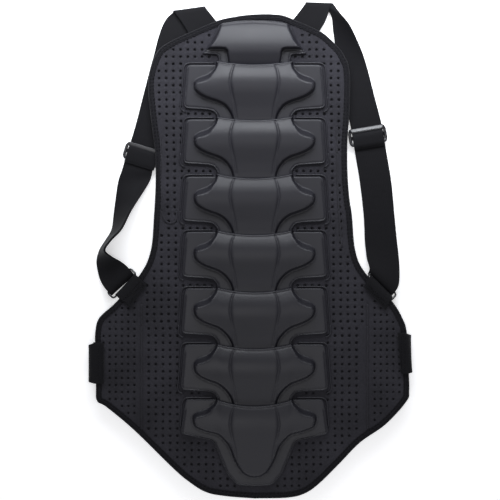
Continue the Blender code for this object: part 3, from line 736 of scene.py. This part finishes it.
def perforated_sheet(name, outline, cuts, pitch, phase, radius, allowed):
    """Closed foam sheet over an outline, its upper face made of rectangular cells with round cups.

    Cells may touch the cuts, which are levels along Y where the sheet meets its neighbour.
    """
    def spot(i, j):
        return (phase[0] + i * pitch[0] / 3, phase[1] + j * pitch[1] / 3)

    def place_in(x, y):
        return ((x - phase[0]) / pitch[0], (y - phase[1]) / pitch[1])

    outline, sides = prepare_outline(outline, cuts, [spot(i, 0)[0] for i in range(-120, 120)])
    border = np.array(outline)
    columns, rows = (range(math.floor(low), math.floor(high) + 1)
                     for low, high in zip(place_in(*border.min(0)), place_in(*border.max(0))))
    cells = [(i, j) for i in columns for j in rows]
    centres = np.array([spot(3 * i + 1.5, 3 * j + 1.5) for i, j in cells])
    away = np.min([distance_to(centres, side)[0] for side in sides], axis=0)
    shown = inside(centres, border) & (away > pitch[1] * 0.6) & allowed(centres)
    shown &= hole_is_shown(centres, radius + 2.1)
    grid = np.array([spot(3 * i, 3 * j) for i, j in cells])
    cells = dict.fromkeys(cell for cell, keep in zip(cells, shown) if keep)
    points, faces, lattice, stair = make_cups(cells, spot, radius)
    keys = sorted({key for edge in stair for key in edge})
    spots = [spot(*key) for key in keys]
    number = {key: len(outline) + index for index, key in enumerate(keys)}
    grid = grid[well_inside(grid, border, 2.5)]
    free = [(x, y) for x, y in grid if tuple(round(place) for place in place_in(x, y)) not in cells]
    taken = {}
    for x, y in [*outline, *spots]:
        taken.setdefault((int(x // 2), int(y // 2)), []).append((x, y))
    edges = [(number[a], number[b]) for a, b in stair]
    flat, triangles, place = fill_outline(outline, [*spots, *thin_out(free, 2.0, taken)], edges)
    renumber = {index: len(points) + index for index in range(len(flat))}
    points.extend((x, y, panel_height(x, y)) for x, y in flat)
    renumber.update((place[number[key]], lattice[key]) for key in keys)
    for triangle in triangles:
        middle = np.mean([flat[corner] for corner in triangle], axis=0)
        if tuple(math.floor(place) for place in place_in(*middle)) not in cells:
            faces.append(tuple(renumber[corner] for corner in triangle))
    rim = [renumber[place[index]] for index in range(len(outline))]
    close_below(points, faces, rim, outline, grid, lambda x, y: PANEL_LOW)
    return make_piece(name, points, faces, "perforated_foam", sharp=50)


def make_panel():
    """The perforated back panel in blended stretches, and the two waist wings."""
    lines = [shifted_in(side, 5.0) for side in SIDES]

    def between(top, bottom):
        return cut_line(lines[0], top, bottom) + cut_line(lines[1], top, bottom)[::-1]

    for number, stretch in enumerate(STRETCHES, 1):
        name, _, _, _, top, bottom = stretch
        outline = between(top, bottom)
        if name in "de":
            for sign in SIDES.values():
                outline = clip_sideways(outline, WING_SEAM, sign)
        phase = (HOLE_COLUMN[name], HOLE_ROW)
        piece = perforated_sheet(f"panel_{name}", outline, (top, bottom), HOLE_PITCH, phase, 1.72,
                                 lambda centres: np.abs(centres[:, 0]) < WING_SEAM - 3.0)
        nodes = [number] if name != "e" else ["lumbar", "tail"]
        set_down(piece, stretch=stretch, nodes=[f"back_panel_{node}" for node in nodes])
    for side, sign in SIDES.items():
        wing = clip_sideways(between(60.0, -FAR), -WING_SEAM, -sign)
        piece = perforated_sheet(f"wing_{side}", wing, (), WING_PITCH, (sign * 150.5, -100.7), 1.5,
                                 lambda centres: np.abs(centres[:, 0]) > WING_SEAM + 4.0)
        set_down(piece, stretch=STRETCHES[-1], nodes=[f"waist_wing_{side}"])


# ---------------------------------------------------------------- bands, tubes and stitches

STITCH_PITCH = 4.4
STITCH_STEP = 0.5
# Rings of one stitch: share of its length, and its width and rise as shares of the thread's radius
STITCH_RINGS = ((0.0, 0.45, -0.6), (0.12, 1.0, 0.4), (0.5, 1.0, 0.9), (0.88, 1.0, 0.4), (1.0, 0.45, -0.6))
# Cross-section of the folded edge tape: distance in from the panel's edge, and height
BINDING_PROFILE = ((6.4, 9.4), (3.2, 8.5), (1.1, 9.0), (0.15, 10.4), (0.0, 12.2), (0.5, 13.8),
                   (1.3, 14.5), (2.1, 14.3), (2.7, 14.1), (3.3, 14.5), (4.3, 14.7), (5.0, 14.3),
                   (5.4, 14.2), (6.2, 14.4), (7.0, 14.1), (7.4, 13.2))


def make_band(name, line, inward):
    """The edge tape along a plan line, puckered where its two rows of stitches hold it."""
    points, uvs = [], []
    across = run_lengths(BINDING_PROFILE)
    for (x, y), (nx, ny), run in zip(line, inward, run_lengths(line)):
        puff = 0.22 * noise.noise(Vector((x * 0.12, y * 0.12, 2.0)))
        pucker = 0.5 - 0.5 * math.cos(2 * math.pi * run / STITCH_PITCH)
        for (distance, z), v in zip(BINDING_PROFILE, across):
            lift = puff if z > 12.5 else 0.0
            if 1.2 < distance < 4.5 and z > 13.9:
                lift -= 0.5 * pucker * (1 - abs(distance - 2.8) / 1.7)
            if distance > 5.2 and z > 13.0:
                lift -= 0.45 * pucker
            points.append((x + nx * distance, y + ny * distance, z + lift))
            uvs.append((run, v))
    return make_piece(name, points, skin(0, len(line), len(BINDING_PROFILE)), "binding_tape", uvs, 70)


def make_stitches(name, rows, body=None, stretch=None, pitch=STITCH_PITCH, length=3.0, radius=0.42):
    """One piece of thread from rows of (plan line, height), each stitch a small arched capsule."""
    points, faces = [], []
    stride, span = int(round(pitch / STITCH_STEP)), int(round(length / STITCH_STEP))
    for row, height in rows:
        line = even_line([(*point, height) for point in row], STITCH_STEP)
        for start in range(stride // 2, len(line) - span - 1, stride):
            faces += skin(len(points), len(STITCH_RINGS), 6)
            run = (line[start + span] - line[start])[:2]
            along, side = run / (np.linalg.norm(run) + 1e-9)
            for share, swell, rise in STITCH_RINGS:
                first, rest = divmod(start + share * span, 1)
                x, y, z = line[int(first)] + (line[int(first) + 1] - line[int(first)]) * rest
                for cosine, sine in circle(6):
                    out = radius * swell * cosine
                    points.append((x - side * out, y + along * out, z + radius * (rise + swell * sine)))
    set_down(make_piece(name, points, faces, "thread"), body, stretch)


def make_tube(name, line, radius, material, body=None, stretch=None):
    """A round ridge along points in space."""
    line = np.array(line, float)
    points, uvs = [], []
    for index, (here, along) in enumerate(zip(line, unit(np.gradient(line, axis=0)))):
        side = np.cross((0, 0, 1.0), along)
        side /= np.linalg.norm(side) + 1e-9
        up = np.cross(along, side)
        for corner, (cosine, sine) in enumerate(circle(8)):
            points.append(here + (side * cosine + up * sine) * radius)
            uvs.append((index * 1.5, corner * radius * 0.8))
    piece = make_piece(name, points, skin(0, len(line), 8), material, uvs)
    set_down(piece, body, stretch)


def make_bindings():
    """The edge tape with its two stitch rows, in the same stretches as the panel."""
    edges = {side: np.column_stack([line, left_normals(line) * -SIDES[side]])
             for side, line in EDGE_LINES.items()}
    for number, stretch in enumerate(STRETCHES, 1):
        name, _, _, _, top, bottom = stretch
        bands = {side: cut_line(edge, top, bottom) for side, edge in edges.items()}
        if name == "a":
            bands = {"top": bands["left"][::-1] + bands["right"][1:]}
        if name == "e":
            bands = {"tail": bands["left"] + bands["right"][::-1][1:]}
        for side, band in bands.items():
            line, inward = np.hsplit(np.array(band), 2)
            inward = unit(inward)
            ends = ("tail", "left_lumbar", "right_lumbar") if name == "e" else (number, f"{side}_{number}")
            set_down(make_band(f"binding_{side}_{name}", line, inward), stretch=stretch,
                     nodes=[f"edge_binding_{end}" for end in ends])
            rows = [(line + inward * 2.6, 14.25), (line + inward * 6.6, 14.35)]
            make_stitches(f"binding_stitches_{side}_{name}", rows, stretch=stretch)


# Piping beside a plate's flange, as places from its top line, and the two sewn channels
WELT = [(49.0, 2.9), (60.0, 2.9), (74.0, 2.9), (81.0, 2.5), (84.8, 0.2), (86.6, -5.0), (87.4, -16.0),
        (88.4, -30.0), (89.4, -42.0), (90.2, -50.0), (88.6, -55.0), (84.0, -57.6)]
CHANNELS = {
    "left": [(-113.5, 141.0), (-114.4, 130.0), (-114.2, 100.0), (-113.2, 60.0), (-111.5, 40.0),
             (-106.0, 33.6), (-100.0, 33.0), (-95.6, 38.0), (-94.6, 60.0)],
    "right": [(101.0, 150.0), (100.6, 120.0), (101.4, 80.0), (103.5, 40.0), (106.5, 4.0)]}


def lay_ridge(name, line, radius, rise, material="perforated_foam"):
    """One line of piping on the foam, in a piece for each stretch that it passes."""
    for stretch in STRETCHES:
        runs = [[]]
        for x, y in line:
            if stretch[5] - 1.0 < y < stretch[4] + 1.0:
                runs[-1].append((x, y, panel_height(x, y) + rise))
            elif runs[-1]:
                runs.append([])
        for index, run in enumerate((run for run in runs if len(run) > 3), 1):
            make_tube(f"{name}_{stretch[0]}_{index}", run, radius, material, stretch=stretch)


def make_ridges():
    """Piping pressed into the foam beside the plates, down the sides and along the wing seams."""
    for number in range(2, 9):
        base = PLATE_PLANS[number][0]
        growth = 0.7 * (number - 2) if number < 8 else 2.0
        shape = [(x + growth, y + base + flange_lift(x, y, number))
                 for x, y in (WELT if number < 8 else WELT[:8])]
        for side, sign in SIDES.items():
            line = curve_through([(sign * x, y) for x, y in shape], 2.0)
            lay_ridge(f"welt_{side}_{number}", line, 0.85, 1.3, "moulded_plate")
    for side, line in CHANNELS.items():
        lay_ridge(f"channel_{side}", curve_through(line, 2.0), 1.05, 0.35)
    for side, sign in SIDES.items():
        seam = [(sign * WING_SEAM, y) for y in (-66.0, -120.0, -180.0, -219.0)]
        lay_ridge(f"wing_seam_{side}", curve_through(seam, 2.0), 1.05, 1.0)


# ---------------------------------------------------------------- webbing

# Upper half of webbing's cross-section, with its selvedges: share of the width, share of the thickness
STRIP_SECTION = list(zip(
    (0.0, 0.015, 0.04, 0.08, *np.linspace(0.15, 0.85, 8), 0.92, 0.96, 0.985, 1.0),
    (0.55, 0.92, 1.0, 0.93, *[0.86] * 8, 0.93, 1.0, 0.92, 0.55)))


def make_strip(name, rows, thickness, material, double=False, bow=0.0):
    """Webbing between two rails of dense rows, with raised selvedges, and a slit if doubled."""
    left, right = np.hsplit(np.array(rows, float), 2)
    middle = (left + right) / 2
    normal = unit(np.cross(right - left, np.gradient(middle, axis=0)))
    slit = (0.988, 0.012) if double else ()
    section = [*STRIP_SECTION, *[(share, 0.0) for share in slit[:1]],
               *[(share, -lift) for share, lift in reversed(STRIP_SECTION)],
               *[(share, 0.0) for share in slit[1:]]]
    width = np.linalg.norm(right[0] - left[0])
    points, uvs = [], []
    for row, run in enumerate(run_lengths(middle)):
        ripple = 0.12 * noise.noise(Vector((run * 0.05, width, 1.0)))
        for share, lift in section:
            rise = lift * thickness / 2 + (bow + ripple) * (1 - (2 * share - 1) ** 2)
            points.append(left[row] + (right[row] - left[row]) * share + normal[row] * rise)
            uvs.append((run, share * width + (100.0 if lift < 0 else 0.0)))
    return make_piece(name, points, skin(0, len(left), len(section)), material, uvs, 60)


# Stations down each strap from its sewn end over the neck: its left edge's place, then its right edge's
STRAPS = {
    "left": (
        (-76.0, 256.0, 6.8, -40.5, 272.0, 6.8), (-88.0, 277.0, 6.9, -51.5, 286.0, 6.9),
        (-97.2, 289.8, 6.6, -59.0, 295.4, 6.6), (-99.6, 292.6, 4.6, -60.8, 297.8, 4.6),
        (-100.6, 290.4, 2.6, -62.6, 294.8, 2.6),
        (-108.2, 283.0, 2.4, -72.0, 284.0, 2.4), (-116.0, 266.0, 3.0, -79.0, 266.0, 3.0),
        (-123.8, 236.7, 3.6, -86.5, 236.7, 3.6), (-127.9, 221.8, 4.0, -89.7, 221.8, 4.0),
        (-136.8, 187.0, 4.0, -98.6, 187.0, 4.0), (-145.8, 152.0, 4.0, -108.0, 152.0, 4.0),
        (-156.4, 117.0, 4.0, -118.6, 117.0, 4.0), (-162.4, 97.6, 4.0, -124.6, 97.6, 4.0),
        (-167.2, 82.2, 4.0, -129.4, 82.2, 4.3),
        (-171.4, 48.8, 4.0, -149.5, 48.8, 24.0), (-174.0, 26.0, 4.0, -161.0, 26.0, 32.0),
        (-181.2, 12.4, 4.0, -173.6, 12.4, 34.0), (-189.0, 0.0, 4.0, -181.6, 0.0, 33.6),
        (-193.2, -14.0, 4.0, -174.0, -8.0, 24.0), (-190.6, -31.0, 4.6, -164.0, -13.6, 15.0),
        (-186.4, -41.4, 7.4, -157.0, -18.8, 11.4), (-180.8, -49.2, 9.2, -151.4, -24.8, 9.6),
        (-176.9, -53.2, 8.0, -148.4, -28.1, 8.0), (-175.2, -55.0, 5.4, -147.0, -29.9, 5.4)),
    "right": (
        (42.0, 275.5, 6.8, 75.0, 261.0, 6.8), (53.4, 289.6, 6.9, 86.0, 278.6, 6.9),
        (61.6, 300.6, 6.8, 93.6, 298.4, 6.8), (63.4, 303.0, 4.8, 95.6, 301.6, 4.8),
        (70.0, 301.4, 2.8, 98.4, 298.6, 5.6), (86.0, 296.4, 2.8, 101.4, 293.0, 12.0),
        (94.4, 287.0, 3.0, 105.2, 286.8, 18.0), (96.2, 272.0, 3.0, 116.2, 273.4, 17.0),
        (99.4, 245.2, 3.6, 130.4, 245.2, 8.6), (102.5, 221.8, 4.0, 138.3, 221.8, 4.6),
        (109.8, 187.0, 4.0, 147.2, 187.0, 4.2), (117.5, 152.0, 4.0, 156.1, 152.0, 4.0),
        (123.4, 117.0, 4.0, 162.0, 117.0, 4.0), (129.1, 82.2, 4.0, 167.7, 82.2, 4.0),
        (133.6, 42.7, 4.0, 171.4, 42.7, 4.0), (135.0, 12.4, 4.0, 174.3, 12.4, 4.0),
        (136.2, 0.0, 4.6, 176.4, -6.0, 4.4), (137.4, -10.0, 6.8, 177.4, -26.0, 6.6),
        (139.6, -18.0, 9.2, 176.4, -42.0, 9.2), (140.6, -23.0, 9.6, 172.6, -50.0, 9.6),
        (139.8, -26.6, 8.2, 169.4, -54.2, 8.2), (139.0, -28.6, 5.6, 167.6, -56.2, 5.6))}
# Each tab's corners: two on the panel and two at its fold
TABS = {
    "left": ((-151.5, -70.0), (-130.5, -41.5), (-164.5, -59.5), (-140.6, -34.0)),
    "right": ((132.7, -44.8), (159.6, -73.0), (138.0, -36.6), (164.9, -63.5))}
RINGS = {"left": ((-162.2, -40.8), 46.9), "right": ((155.6, -44.0), -44.9)}        # centre, lean
SLIDERS = {"left": ((-137.0, 116.5), -17.0), "right": ((138.6, 139.5), 9.5)}
BAR_TILT = {"left": -8.0, "right": 21.0}
BAR_SHAPE = {"left": (0.9, 6.85), "right": (1.3, 7.5)}     # half height and level of the outer bars
HUMP_HIGH = {"left": 7.7, "right": 10.4}                    # the left one passes under the panel's edge
HUMP_THICK = {"left": 1.0, "right": 1.5}
DOUBLED_FROM = {"left": 118.0, "right": 142.0}              # the straps are doubled below their sliders
WEBBING_THICK = 1.9
TAB_HIGH, TAB_LOW = 16.2, 6.4


def make_straps():
    """The shoulder straps, cut like the panel where they cross the flex lines."""
    for side, stations in STRAPS.items():
        rows = curve_through(stations, 3.2)
        middle = (rows[:, 1] + rows[:, 4]) / 2
        turn = int(np.argmax(middle))
        cuts = [turn + int(np.argmin(np.abs(middle[turn:] - stretch[5]))) for stretch in STRETCHES[:3]]
        spans = zip(STRETCHES, [0, *cuts], [*cuts, len(rows) - 1])
        for number, (stretch, first, last) in enumerate(spans, 1):
            doubled = middle[(first + last) // 2] < DOUBLED_FROM[side]
            piece = make_strip(f"shoulder_strap_{side}_{stretch[0]}", rows[first:last + 1],
                               2.7 if doubled else WEBBING_THICK, "strap_webbing", doubled, 0.1)
            numbers = (4, 5) if number == 4 else (number,)
            set_down(piece, stretch=stretch,
                     nodes=[f"shoulder_strap_{side}_{each}" for each in numbers])


def make_tabs():
    """Folded webbing sewn over the panel's edge, its fold holding the end of each strap."""
    for side, corners in TABS.items():
        inner_a, inner_b, outer_a, outer_b = (np.array(corner) for corner in corners)
        bow_a, bow_b = unit(np.array([outer_a - inner_a, outer_b - inner_b]))
        fold = ((0.0, TAB_HIGH), (3.0, TAB_HIGH - 0.6), (5.8, 14.0), (6.8, 11.2), (5.8, 8.4),
                (3.0, TAB_LOW + 0.4), (0.0, TAB_LOW))
        stations = [(*inner_a, TAB_HIGH, *inner_b, TAB_HIGH)]
        stations += [(*outer_a + bow_a * reach, z, *outer_b + bow_b * reach, z) for reach, z in fold]
        stations.append((*inner_a, TAB_LOW, *inner_b, TAB_LOW))
        rows = curve_through(stations, 1.6)
        piece = make_strip(f"strap_tab_{side}", rows, WEBBING_THICK, "strap_webbing")
        set_down(piece, "lumbar", nodes=[f"strap_tab_{side}"])
        box = np.array([inner_a + bow_a * 2.5, inner_b + bow_b * 2.5,
                        outer_b - bow_b * 3, outer_a - bow_a * 3])
        box += (box.mean(0) - box) * 0.12
        rows = [((box[a], box[b]), TAB_HIGH + WEBBING_THICK / 2)
                for a, b in ((0, 1), (1, 2), (2, 3), (3, 0), (0, 2), (1, 3))]
        make_stitches(f"tab_stitches_{side}", rows, "lumbar", pitch=3.0, length=2.2, radius=0.36)


def placer(centre, lean):
    """A function that turns a point by a lean in degrees and moves it to a centre."""
    cosine, sine = math.cos(math.radians(lean)), math.sin(math.radians(lean))
    return lambda x, y, z: (centre[0] + x * cosine - y * sine, centre[1] + x * sine + y * cosine, z)


def rounded_box(half_width, half_height, radius, steps, first=0):
    """Plan outline of a rectangle about the origin with round corners, from one of its corners on."""
    corners = SQUARE[first:] + SQUARE[:first]
    return round_corners([(x * half_width, y * half_height, radius) for x, y in corners], steps)


def make_rings():
    """The loops of moulded plastic that join each strap to its tab."""
    for side, (centre, lean) in RINGS.items():
        place = placer(centre, lean)
        path = rounded_box(20.4, 5.4, 3.4, 5)
        line = [place(x, y, 8.6 - 0.33 * y) for x, y in even_line([*path, path[0]], 1.4)]
        make_tube(f"strap_ring_{side}", line, 1.2, "slider_plastic", "lumbar")


RAIL = (3.1, 4.35)          # half height and level of a slider's end rails
# Across a slider: place of the hump's rows, and their rise from the strap to the hump's top
HUMP = ((-14.6, 0.0), (-13.6, 0.1), (-12.4, 0.5), (-10.0, 0.85), (-7.0, 0.95), (-3.4, 1.0),
        (0.0, 1.0), (2.8, 0.85), (4.6, 0.5), (6.4, 0.08), (8.6, 0.0))
HUMP_LOW, HUMP_HALF = 6.65, 18.9


def squared(value):
    """A sine or cosine bent towards a rounded square."""
    return math.copysign(abs(value) ** 0.6, value)


def make_sliders():
    """Tri-glide sliders, each with the strap's hump over its middle bar."""
    path = rounded_box(21.7, 8.6, 4.0, 6)
    path = even_line([*path, path[0]], 1.5)[:-1]
    turns = circle(14)
    for side, (centre, lean) in SLIDERS.items():
        place = placer(centre, lean)
        thick, bar_level = BAR_SHAPE[side]
        points = []
        for (x, y), (nx, ny) in zip(path, -left_normals(path, True)):
            rail = float(smooth_step((abs(x) - 19.4) / 2.2))
            wide = 2.4 - 0.5 * rail + (0.8 * (1 - rail) if side == "right" and y > 0 else 0.0)
            tall = thick + (RAIL[0] - thick) * rail
            level = bar_level + (RAIL[1] - bar_level) * rail
            tilt = math.radians(BAR_TILT[side]) * (1 - rail) if y > 0 else 0.0
            for cosine, sine in turns:
                flat, rise = squared(cosine) * wide, squared(sine) * tall
                across = flat * math.cos(tilt) + rise * math.sin(tilt)
                height = rise * math.cos(tilt) - flat * math.sin(tilt)
                points.append(place(x + nx * across, y + ny * across, level + height))
        faces = skin(0, len(path), len(turns), looped=True)
        bar = np.linspace(-21.4, 21.4, 22)
        faces += skin(len(points), len(bar), len(turns))
        points += [place(x, 2.4 * cosine, 1.45 + 0.85 * sine) for x in bar for cosine, sine in turns]
        piece = make_piece(f"strap_slider_{side}", points, faces, "slider_plastic")
        set_down(piece, f"slider_{side}", nodes=[f"strap_slider_{side}"])
        rows = []
        for y, share in reversed(HUMP):
            z = HUMP_LOW + (HUMP_HIGH[side] - HUMP_LOW) * share
            rows.append((*place(-HUMP_HALF, y, z), *place(HUMP_HALF, y, z)))
        rows = curve_through(rows, 1.4)
        hump = make_strip(f"slider_webbing_{side}", rows, HUMP_THICK[side], "strap_webbing")
        set_down(hump, f"slider_{side}")


BELT_EDGE_X = {"left": 203.0, "right": 192.0}
ANCHOR_X = {"left": 183.5, "right": 176.5}
BELT_Y = {"left": -138.0, "right": -126.0}
BELT_SLANT = {"left": 0.0, "right": -2.25}
BELT_HALF = 25.0
BELT_FOLD_X = 70.0
NEAR_Z, FAR_Z = 5.6, 2.3            # levels of a belt half's two layers
PATCH_TOP = 1.15


def make_belts():
    """Each belt half from its sewn end, round the wing's edge and under it in one fold."""
    for side, sign in SIDES.items():
        edge, anchor = BELT_EDGE_X[side], ANCHOR_X[side]
        low, high = BELT_Y[side] - BELT_HALF, BELT_Y[side] + BELT_HALF
        fold = BELT_FOLD_X
        roll = [(anchor, 16.3), (edge - 12.0, 16.4), (edge - 6.0, 16.2), (edge - 2.6, 14.6),
                (edge - 1.25, 11.4), (edge - 1.5, 8.4), (edge - 3.2, 6.4), (edge - 6.5, NEAR_Z),
                (edge - 16.0, NEAR_Z)]
        rest = [(edge - 16.0, NEAR_Z), (edge - 40.0, NEAR_Z), (fold + 12.0, NEAR_Z), (fold + 3.0, 5.5),
                (fold + 1.2, 4.9), (fold + 0.6, 4.0), (fold + 1.2, 3.0), (fold + 3.0, 2.4),
                (fold + 12.0, FAR_Z), (edge - 40.0, FAR_Z), (edge - 5.5, FAR_Z)]
        for part, path, bodies, levels, nodes in (
                ("roll", roll, ("lumbar", f"belt_{side}"), (14.0, 6.8),
                 (f"belt_anchor_{side}", f"waist_belt_{side}_near")),
                ("fold", rest, (f"belt_{side}", f"belt_{side}_end"), (4.4, 3.5),
                 (f"waist_belt_{side}_far",))):
            rows = []
            for x, z in curve_through(path, 1.5):
                lean = BELT_SLANT[side] * smooth_step((z - 8) / 8)
                tuck = 2.6 * smooth_step((x - edge + 9.0) / 8.0) * smooth_step((z - 3.0) / 3.0)
                rows.append((sign * (x - lean), low + 0.6 * tuck, z, sign * (x + lean), high - tuck, z))
            piece = make_strip(f"waist_belt_{side}_{part}", rows, 2.1, "belt_elastic")
            set_down(piece, nodes=nodes)
            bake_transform(piece)
        inset, out = sign * (anchor + 2.2), sign * (anchor + 6.6)
        rows = [([(x, low + 3), (x, high - 3)], 17.4) for x in (inset, out)]
        rows += [([(inset, y), (out, y)], 17.4) for y in (low + 3, high - 3)]
        make_stitches(f"belt_stitches_{side}", rows, "lumbar", pitch=3.0, length=2.2, radius=0.36)
        make_patch(side, sign, edge, low + 3, high - 3)


def make_patch(side, sign, edge, low, high):
    """Hook or loop patch under the end of a belt half, with an uneven pile and sewn border."""
    name = "hook_patch" if side == "right" else "loop_patch"
    xs, ys = np.linspace(edge - 62.0, edge - 8.0, 56), np.linspace(low, high, 46)
    points = []
    for x in xs:
        for y in ys:
            rim = min(x - xs[0], xs[-1] - x, y - low, high - y)
            pile = 0.28 * noise.noise(Vector((x * 0.9, y * 0.9, 3.0))) * smooth_step(rim - 1.4)
            depth = 0.45 + 0.35 * smooth_step(rim / 0.8) - 0.25 * smooth_step((2.6 - rim) / 0.6)
            points.append((sign * x, y, PATCH_TOP - max(depth + pile, 0.2)))
        points += [(sign * x, y, PATCH_TOP) for y in reversed(ys)]
    piece = make_piece(name, points, skin(0, len(xs), 2 * len(ys)), "hook_and_loop", sharp=60)
    set_down(piece, f"belt_{side}_end", nodes=[name])


# ---------------------------------------------------------------- comfort pads

PAD_START = 2.2             # how far inside its place a pad's shape begins before it swells
PAD_VOXEL = 3.0
PAD_CAP = 2.4               # how far a point may move as the pad swells
PAD_CHANNELS = (-21.0, 21.0)
PAD_TOP = 8.1


def evaluated_mesh(piece):
    return bpy.data.meshes.new_from_object(piece.evaluated_get(bpy.context.evaluated_depsgraph_get()))


def blow_up(name, half_width, half_height):
    """Points and faces of one pad about the origin, swollen by cloth pressure."""
    ring = rounded_box(half_width - PAD_START, half_height - PAD_START, 10.0, 6, 1)
    points = [(x, y, z) for z in (2.0, 6.0) for x, y in ring]
    piece = make_piece(name, points, skin(0, 2, len(ring)), "comfort_pad")
    remesh = piece.modifiers.new("remesh", "REMESH")
    remesh.mode = "VOXEL"
    remesh.voxel_size = PAD_VOXEL * MM
    mesh = evaluated_mesh(piece)
    piece.modifiers.clear()
    piece.data = mesh
    start = np.array([tuple(vertex.co) for vertex in mesh.vertices]) / MM
    cloth = piece.modifiers.new("cloth", "CLOTH")
    cloth.settings.quality = 6
    cloth.settings.use_pressure = True
    cloth.settings.uniform_pressure_force = 4.0
    cloth.settings.effector_weights.gravity = 0.0
    cloth.collision_settings.use_collision = False
    for step in range(1, 21):
        bpy.context.scene.frame_set(step)
    moved = np.array([tuple(vertex.co) for vertex in evaluated_mesh(piece).vertices]) / MM - start
    piece.modifiers.remove(cloth)
    bpy.context.scene.frame_set(1)
    length = np.linalg.norm(moved, axis=1)[:, None]
    points = start + moved * np.minimum(1.0, PAD_CAP / np.maximum(length, 1e-6))
    faces = [tuple(polygon.vertices) for polygon in mesh.polygons]
    bpy.data.objects.remove(piece)
    return points, faces


def make_pads():
    """Comfort pads on the body side, each with two sewn channels and a piped edge."""
    shapes = {}
    for number, body in enumerate(PLATE_BODIES, 1):
        node = f"body_pad_{number}"
        lowest, highest = (np.array(corner[:2]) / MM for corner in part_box(node))
        centre = (lowest + highest) / 2
        half = np.round((highest - lowest) / 2, 1)
        if tuple(half) not in shapes:
            shapes[tuple(half)] = blow_up(f"pad_start_{number}", *half)
        points, faces = shapes[tuple(half)]
        plan, z = points[:, :2], points[:, 2]
        rim = np.min(half - np.abs(plan), axis=1)
        sewn = sum(np.exp(-((plan[:, 0] - x) / 3.0) ** 2) for x in PAD_CHANNELS) * smooth_step(rim / 7)
        z = np.clip(z + 2.2 * sewn * smooth_step((4.6 - z) / 2), 0.15, PAD_TOP)
        points = np.column_stack([np.clip(plan, -half, half) + centre, z])
        piece = make_piece(f"comfort_pad_{number}", points, faces, "comfort_pad")
        smooth = piece.modifiers.new("smooth", "SUBSURF")
        smooth.levels = smooth.render_levels = 1
        set_down(piece, body, nodes=[node])
        ring = rounded_box(*(half - 1.1), 11.0, 8, 1)
        edge = [(*centre + spot, 6.4) for spot in even_line([*ring, ring[0]], 2.5)]
        make_tube(f"comfort_pad_piping_{number}", edge, 0.95, "binding_tape", body)


# ---------------------------------------------------------------- studio

# Soft lights in metres and watts: place, what it looks at, spread in degrees, size, power, colour
LIGHTS = {
    "key_light": ((0.0, 0.50, 0.31), (0.0, 0.28, 0.0), 90, (0.9, 0.3), 2.45, (0.92, 0.95, 1.0)),
    "neck_light": ((0.0, 0.80, 0.62), (0.0, 0.0, 0.0), 180, (1.2, 0.8), 0.7, (0.96, 0.97, 1.0)),
    "tail_light": ((0.0, -0.90, 0.50), (0.0, 0.0, 0.0), 180, (1.2, 0.5), 2.5, (0.96, 0.97, 1.0)),
    "top_light": ((0.0, -0.30, 2.6), (0.0, 0.0, 0.0), 180, (1.2, 1.2), 11.5, (0.98, 0.98, 1.0))}
FRAME_WIDTH = 0.610         # what the camera takes in at the plates' level, in metres


def link_new(name, data):
    made = bpy.data.objects.new(name, data)
    bpy.context.collection.objects.link(made)
    return made


def make_studio():
    """Pale floor, a low key light beyond the neck end, weak fills, and the camera overhead."""
    floor = link_new("floor", bpy.data.meshes.new("floor"))
    work = bmesh.new()
    bmesh.ops.create_grid(work, x_segments=8, y_segments=8, size=4.0)
    work.to_mesh(floor.data)
    work.free()
    floor.location.z = -0.0006
    floor.data.materials.append(floor_material())
    for name, (place, aim, spread, size, power, colour) in LIGHTS.items():
        data = bpy.data.lights.new(name, "AREA")
        data.shape = "RECTANGLE"
        data.size, data.size_y = size
        data.energy = power
        data.color = colour
        data.spread = math.radians(spread)
        light = link_new(name, data)
        light.location = place
        light.rotation_euler = (Vector(aim) - Vector(place)).to_track_quat("-Z", "Y").to_euler()
    scene = bpy.context.scene
    scene.world = bpy.data.worlds.new("studio")
    scene.world.use_nodes = True
    background = scene.world.node_tree.nodes["Background"].inputs
    background["Color"].default_value = (0.97, 0.97, 1.0, 1.0)
    background["Strength"].default_value = 0.24
    scene.view_settings.view_transform = "Standard"
    data = bpy.data.cameras.new("camera")
    data.lens = 150.0
    data.sensor_width = 36.0
    scene.camera = link_new("camera", data)
    scene.camera.location = (-0.0055, 0.0, 0.014 + FRAME_WIDTH * data.lens / data.sensor_width)


random.seed(7)
make_studio()
for plate_number in PLATE_PLANS:
    make_plate(plate_number)
make_panel()
make_bindings()
make_ridges()
make_straps()
make_tabs()
make_rings()
make_sliders()
make_belts()
make_pads()
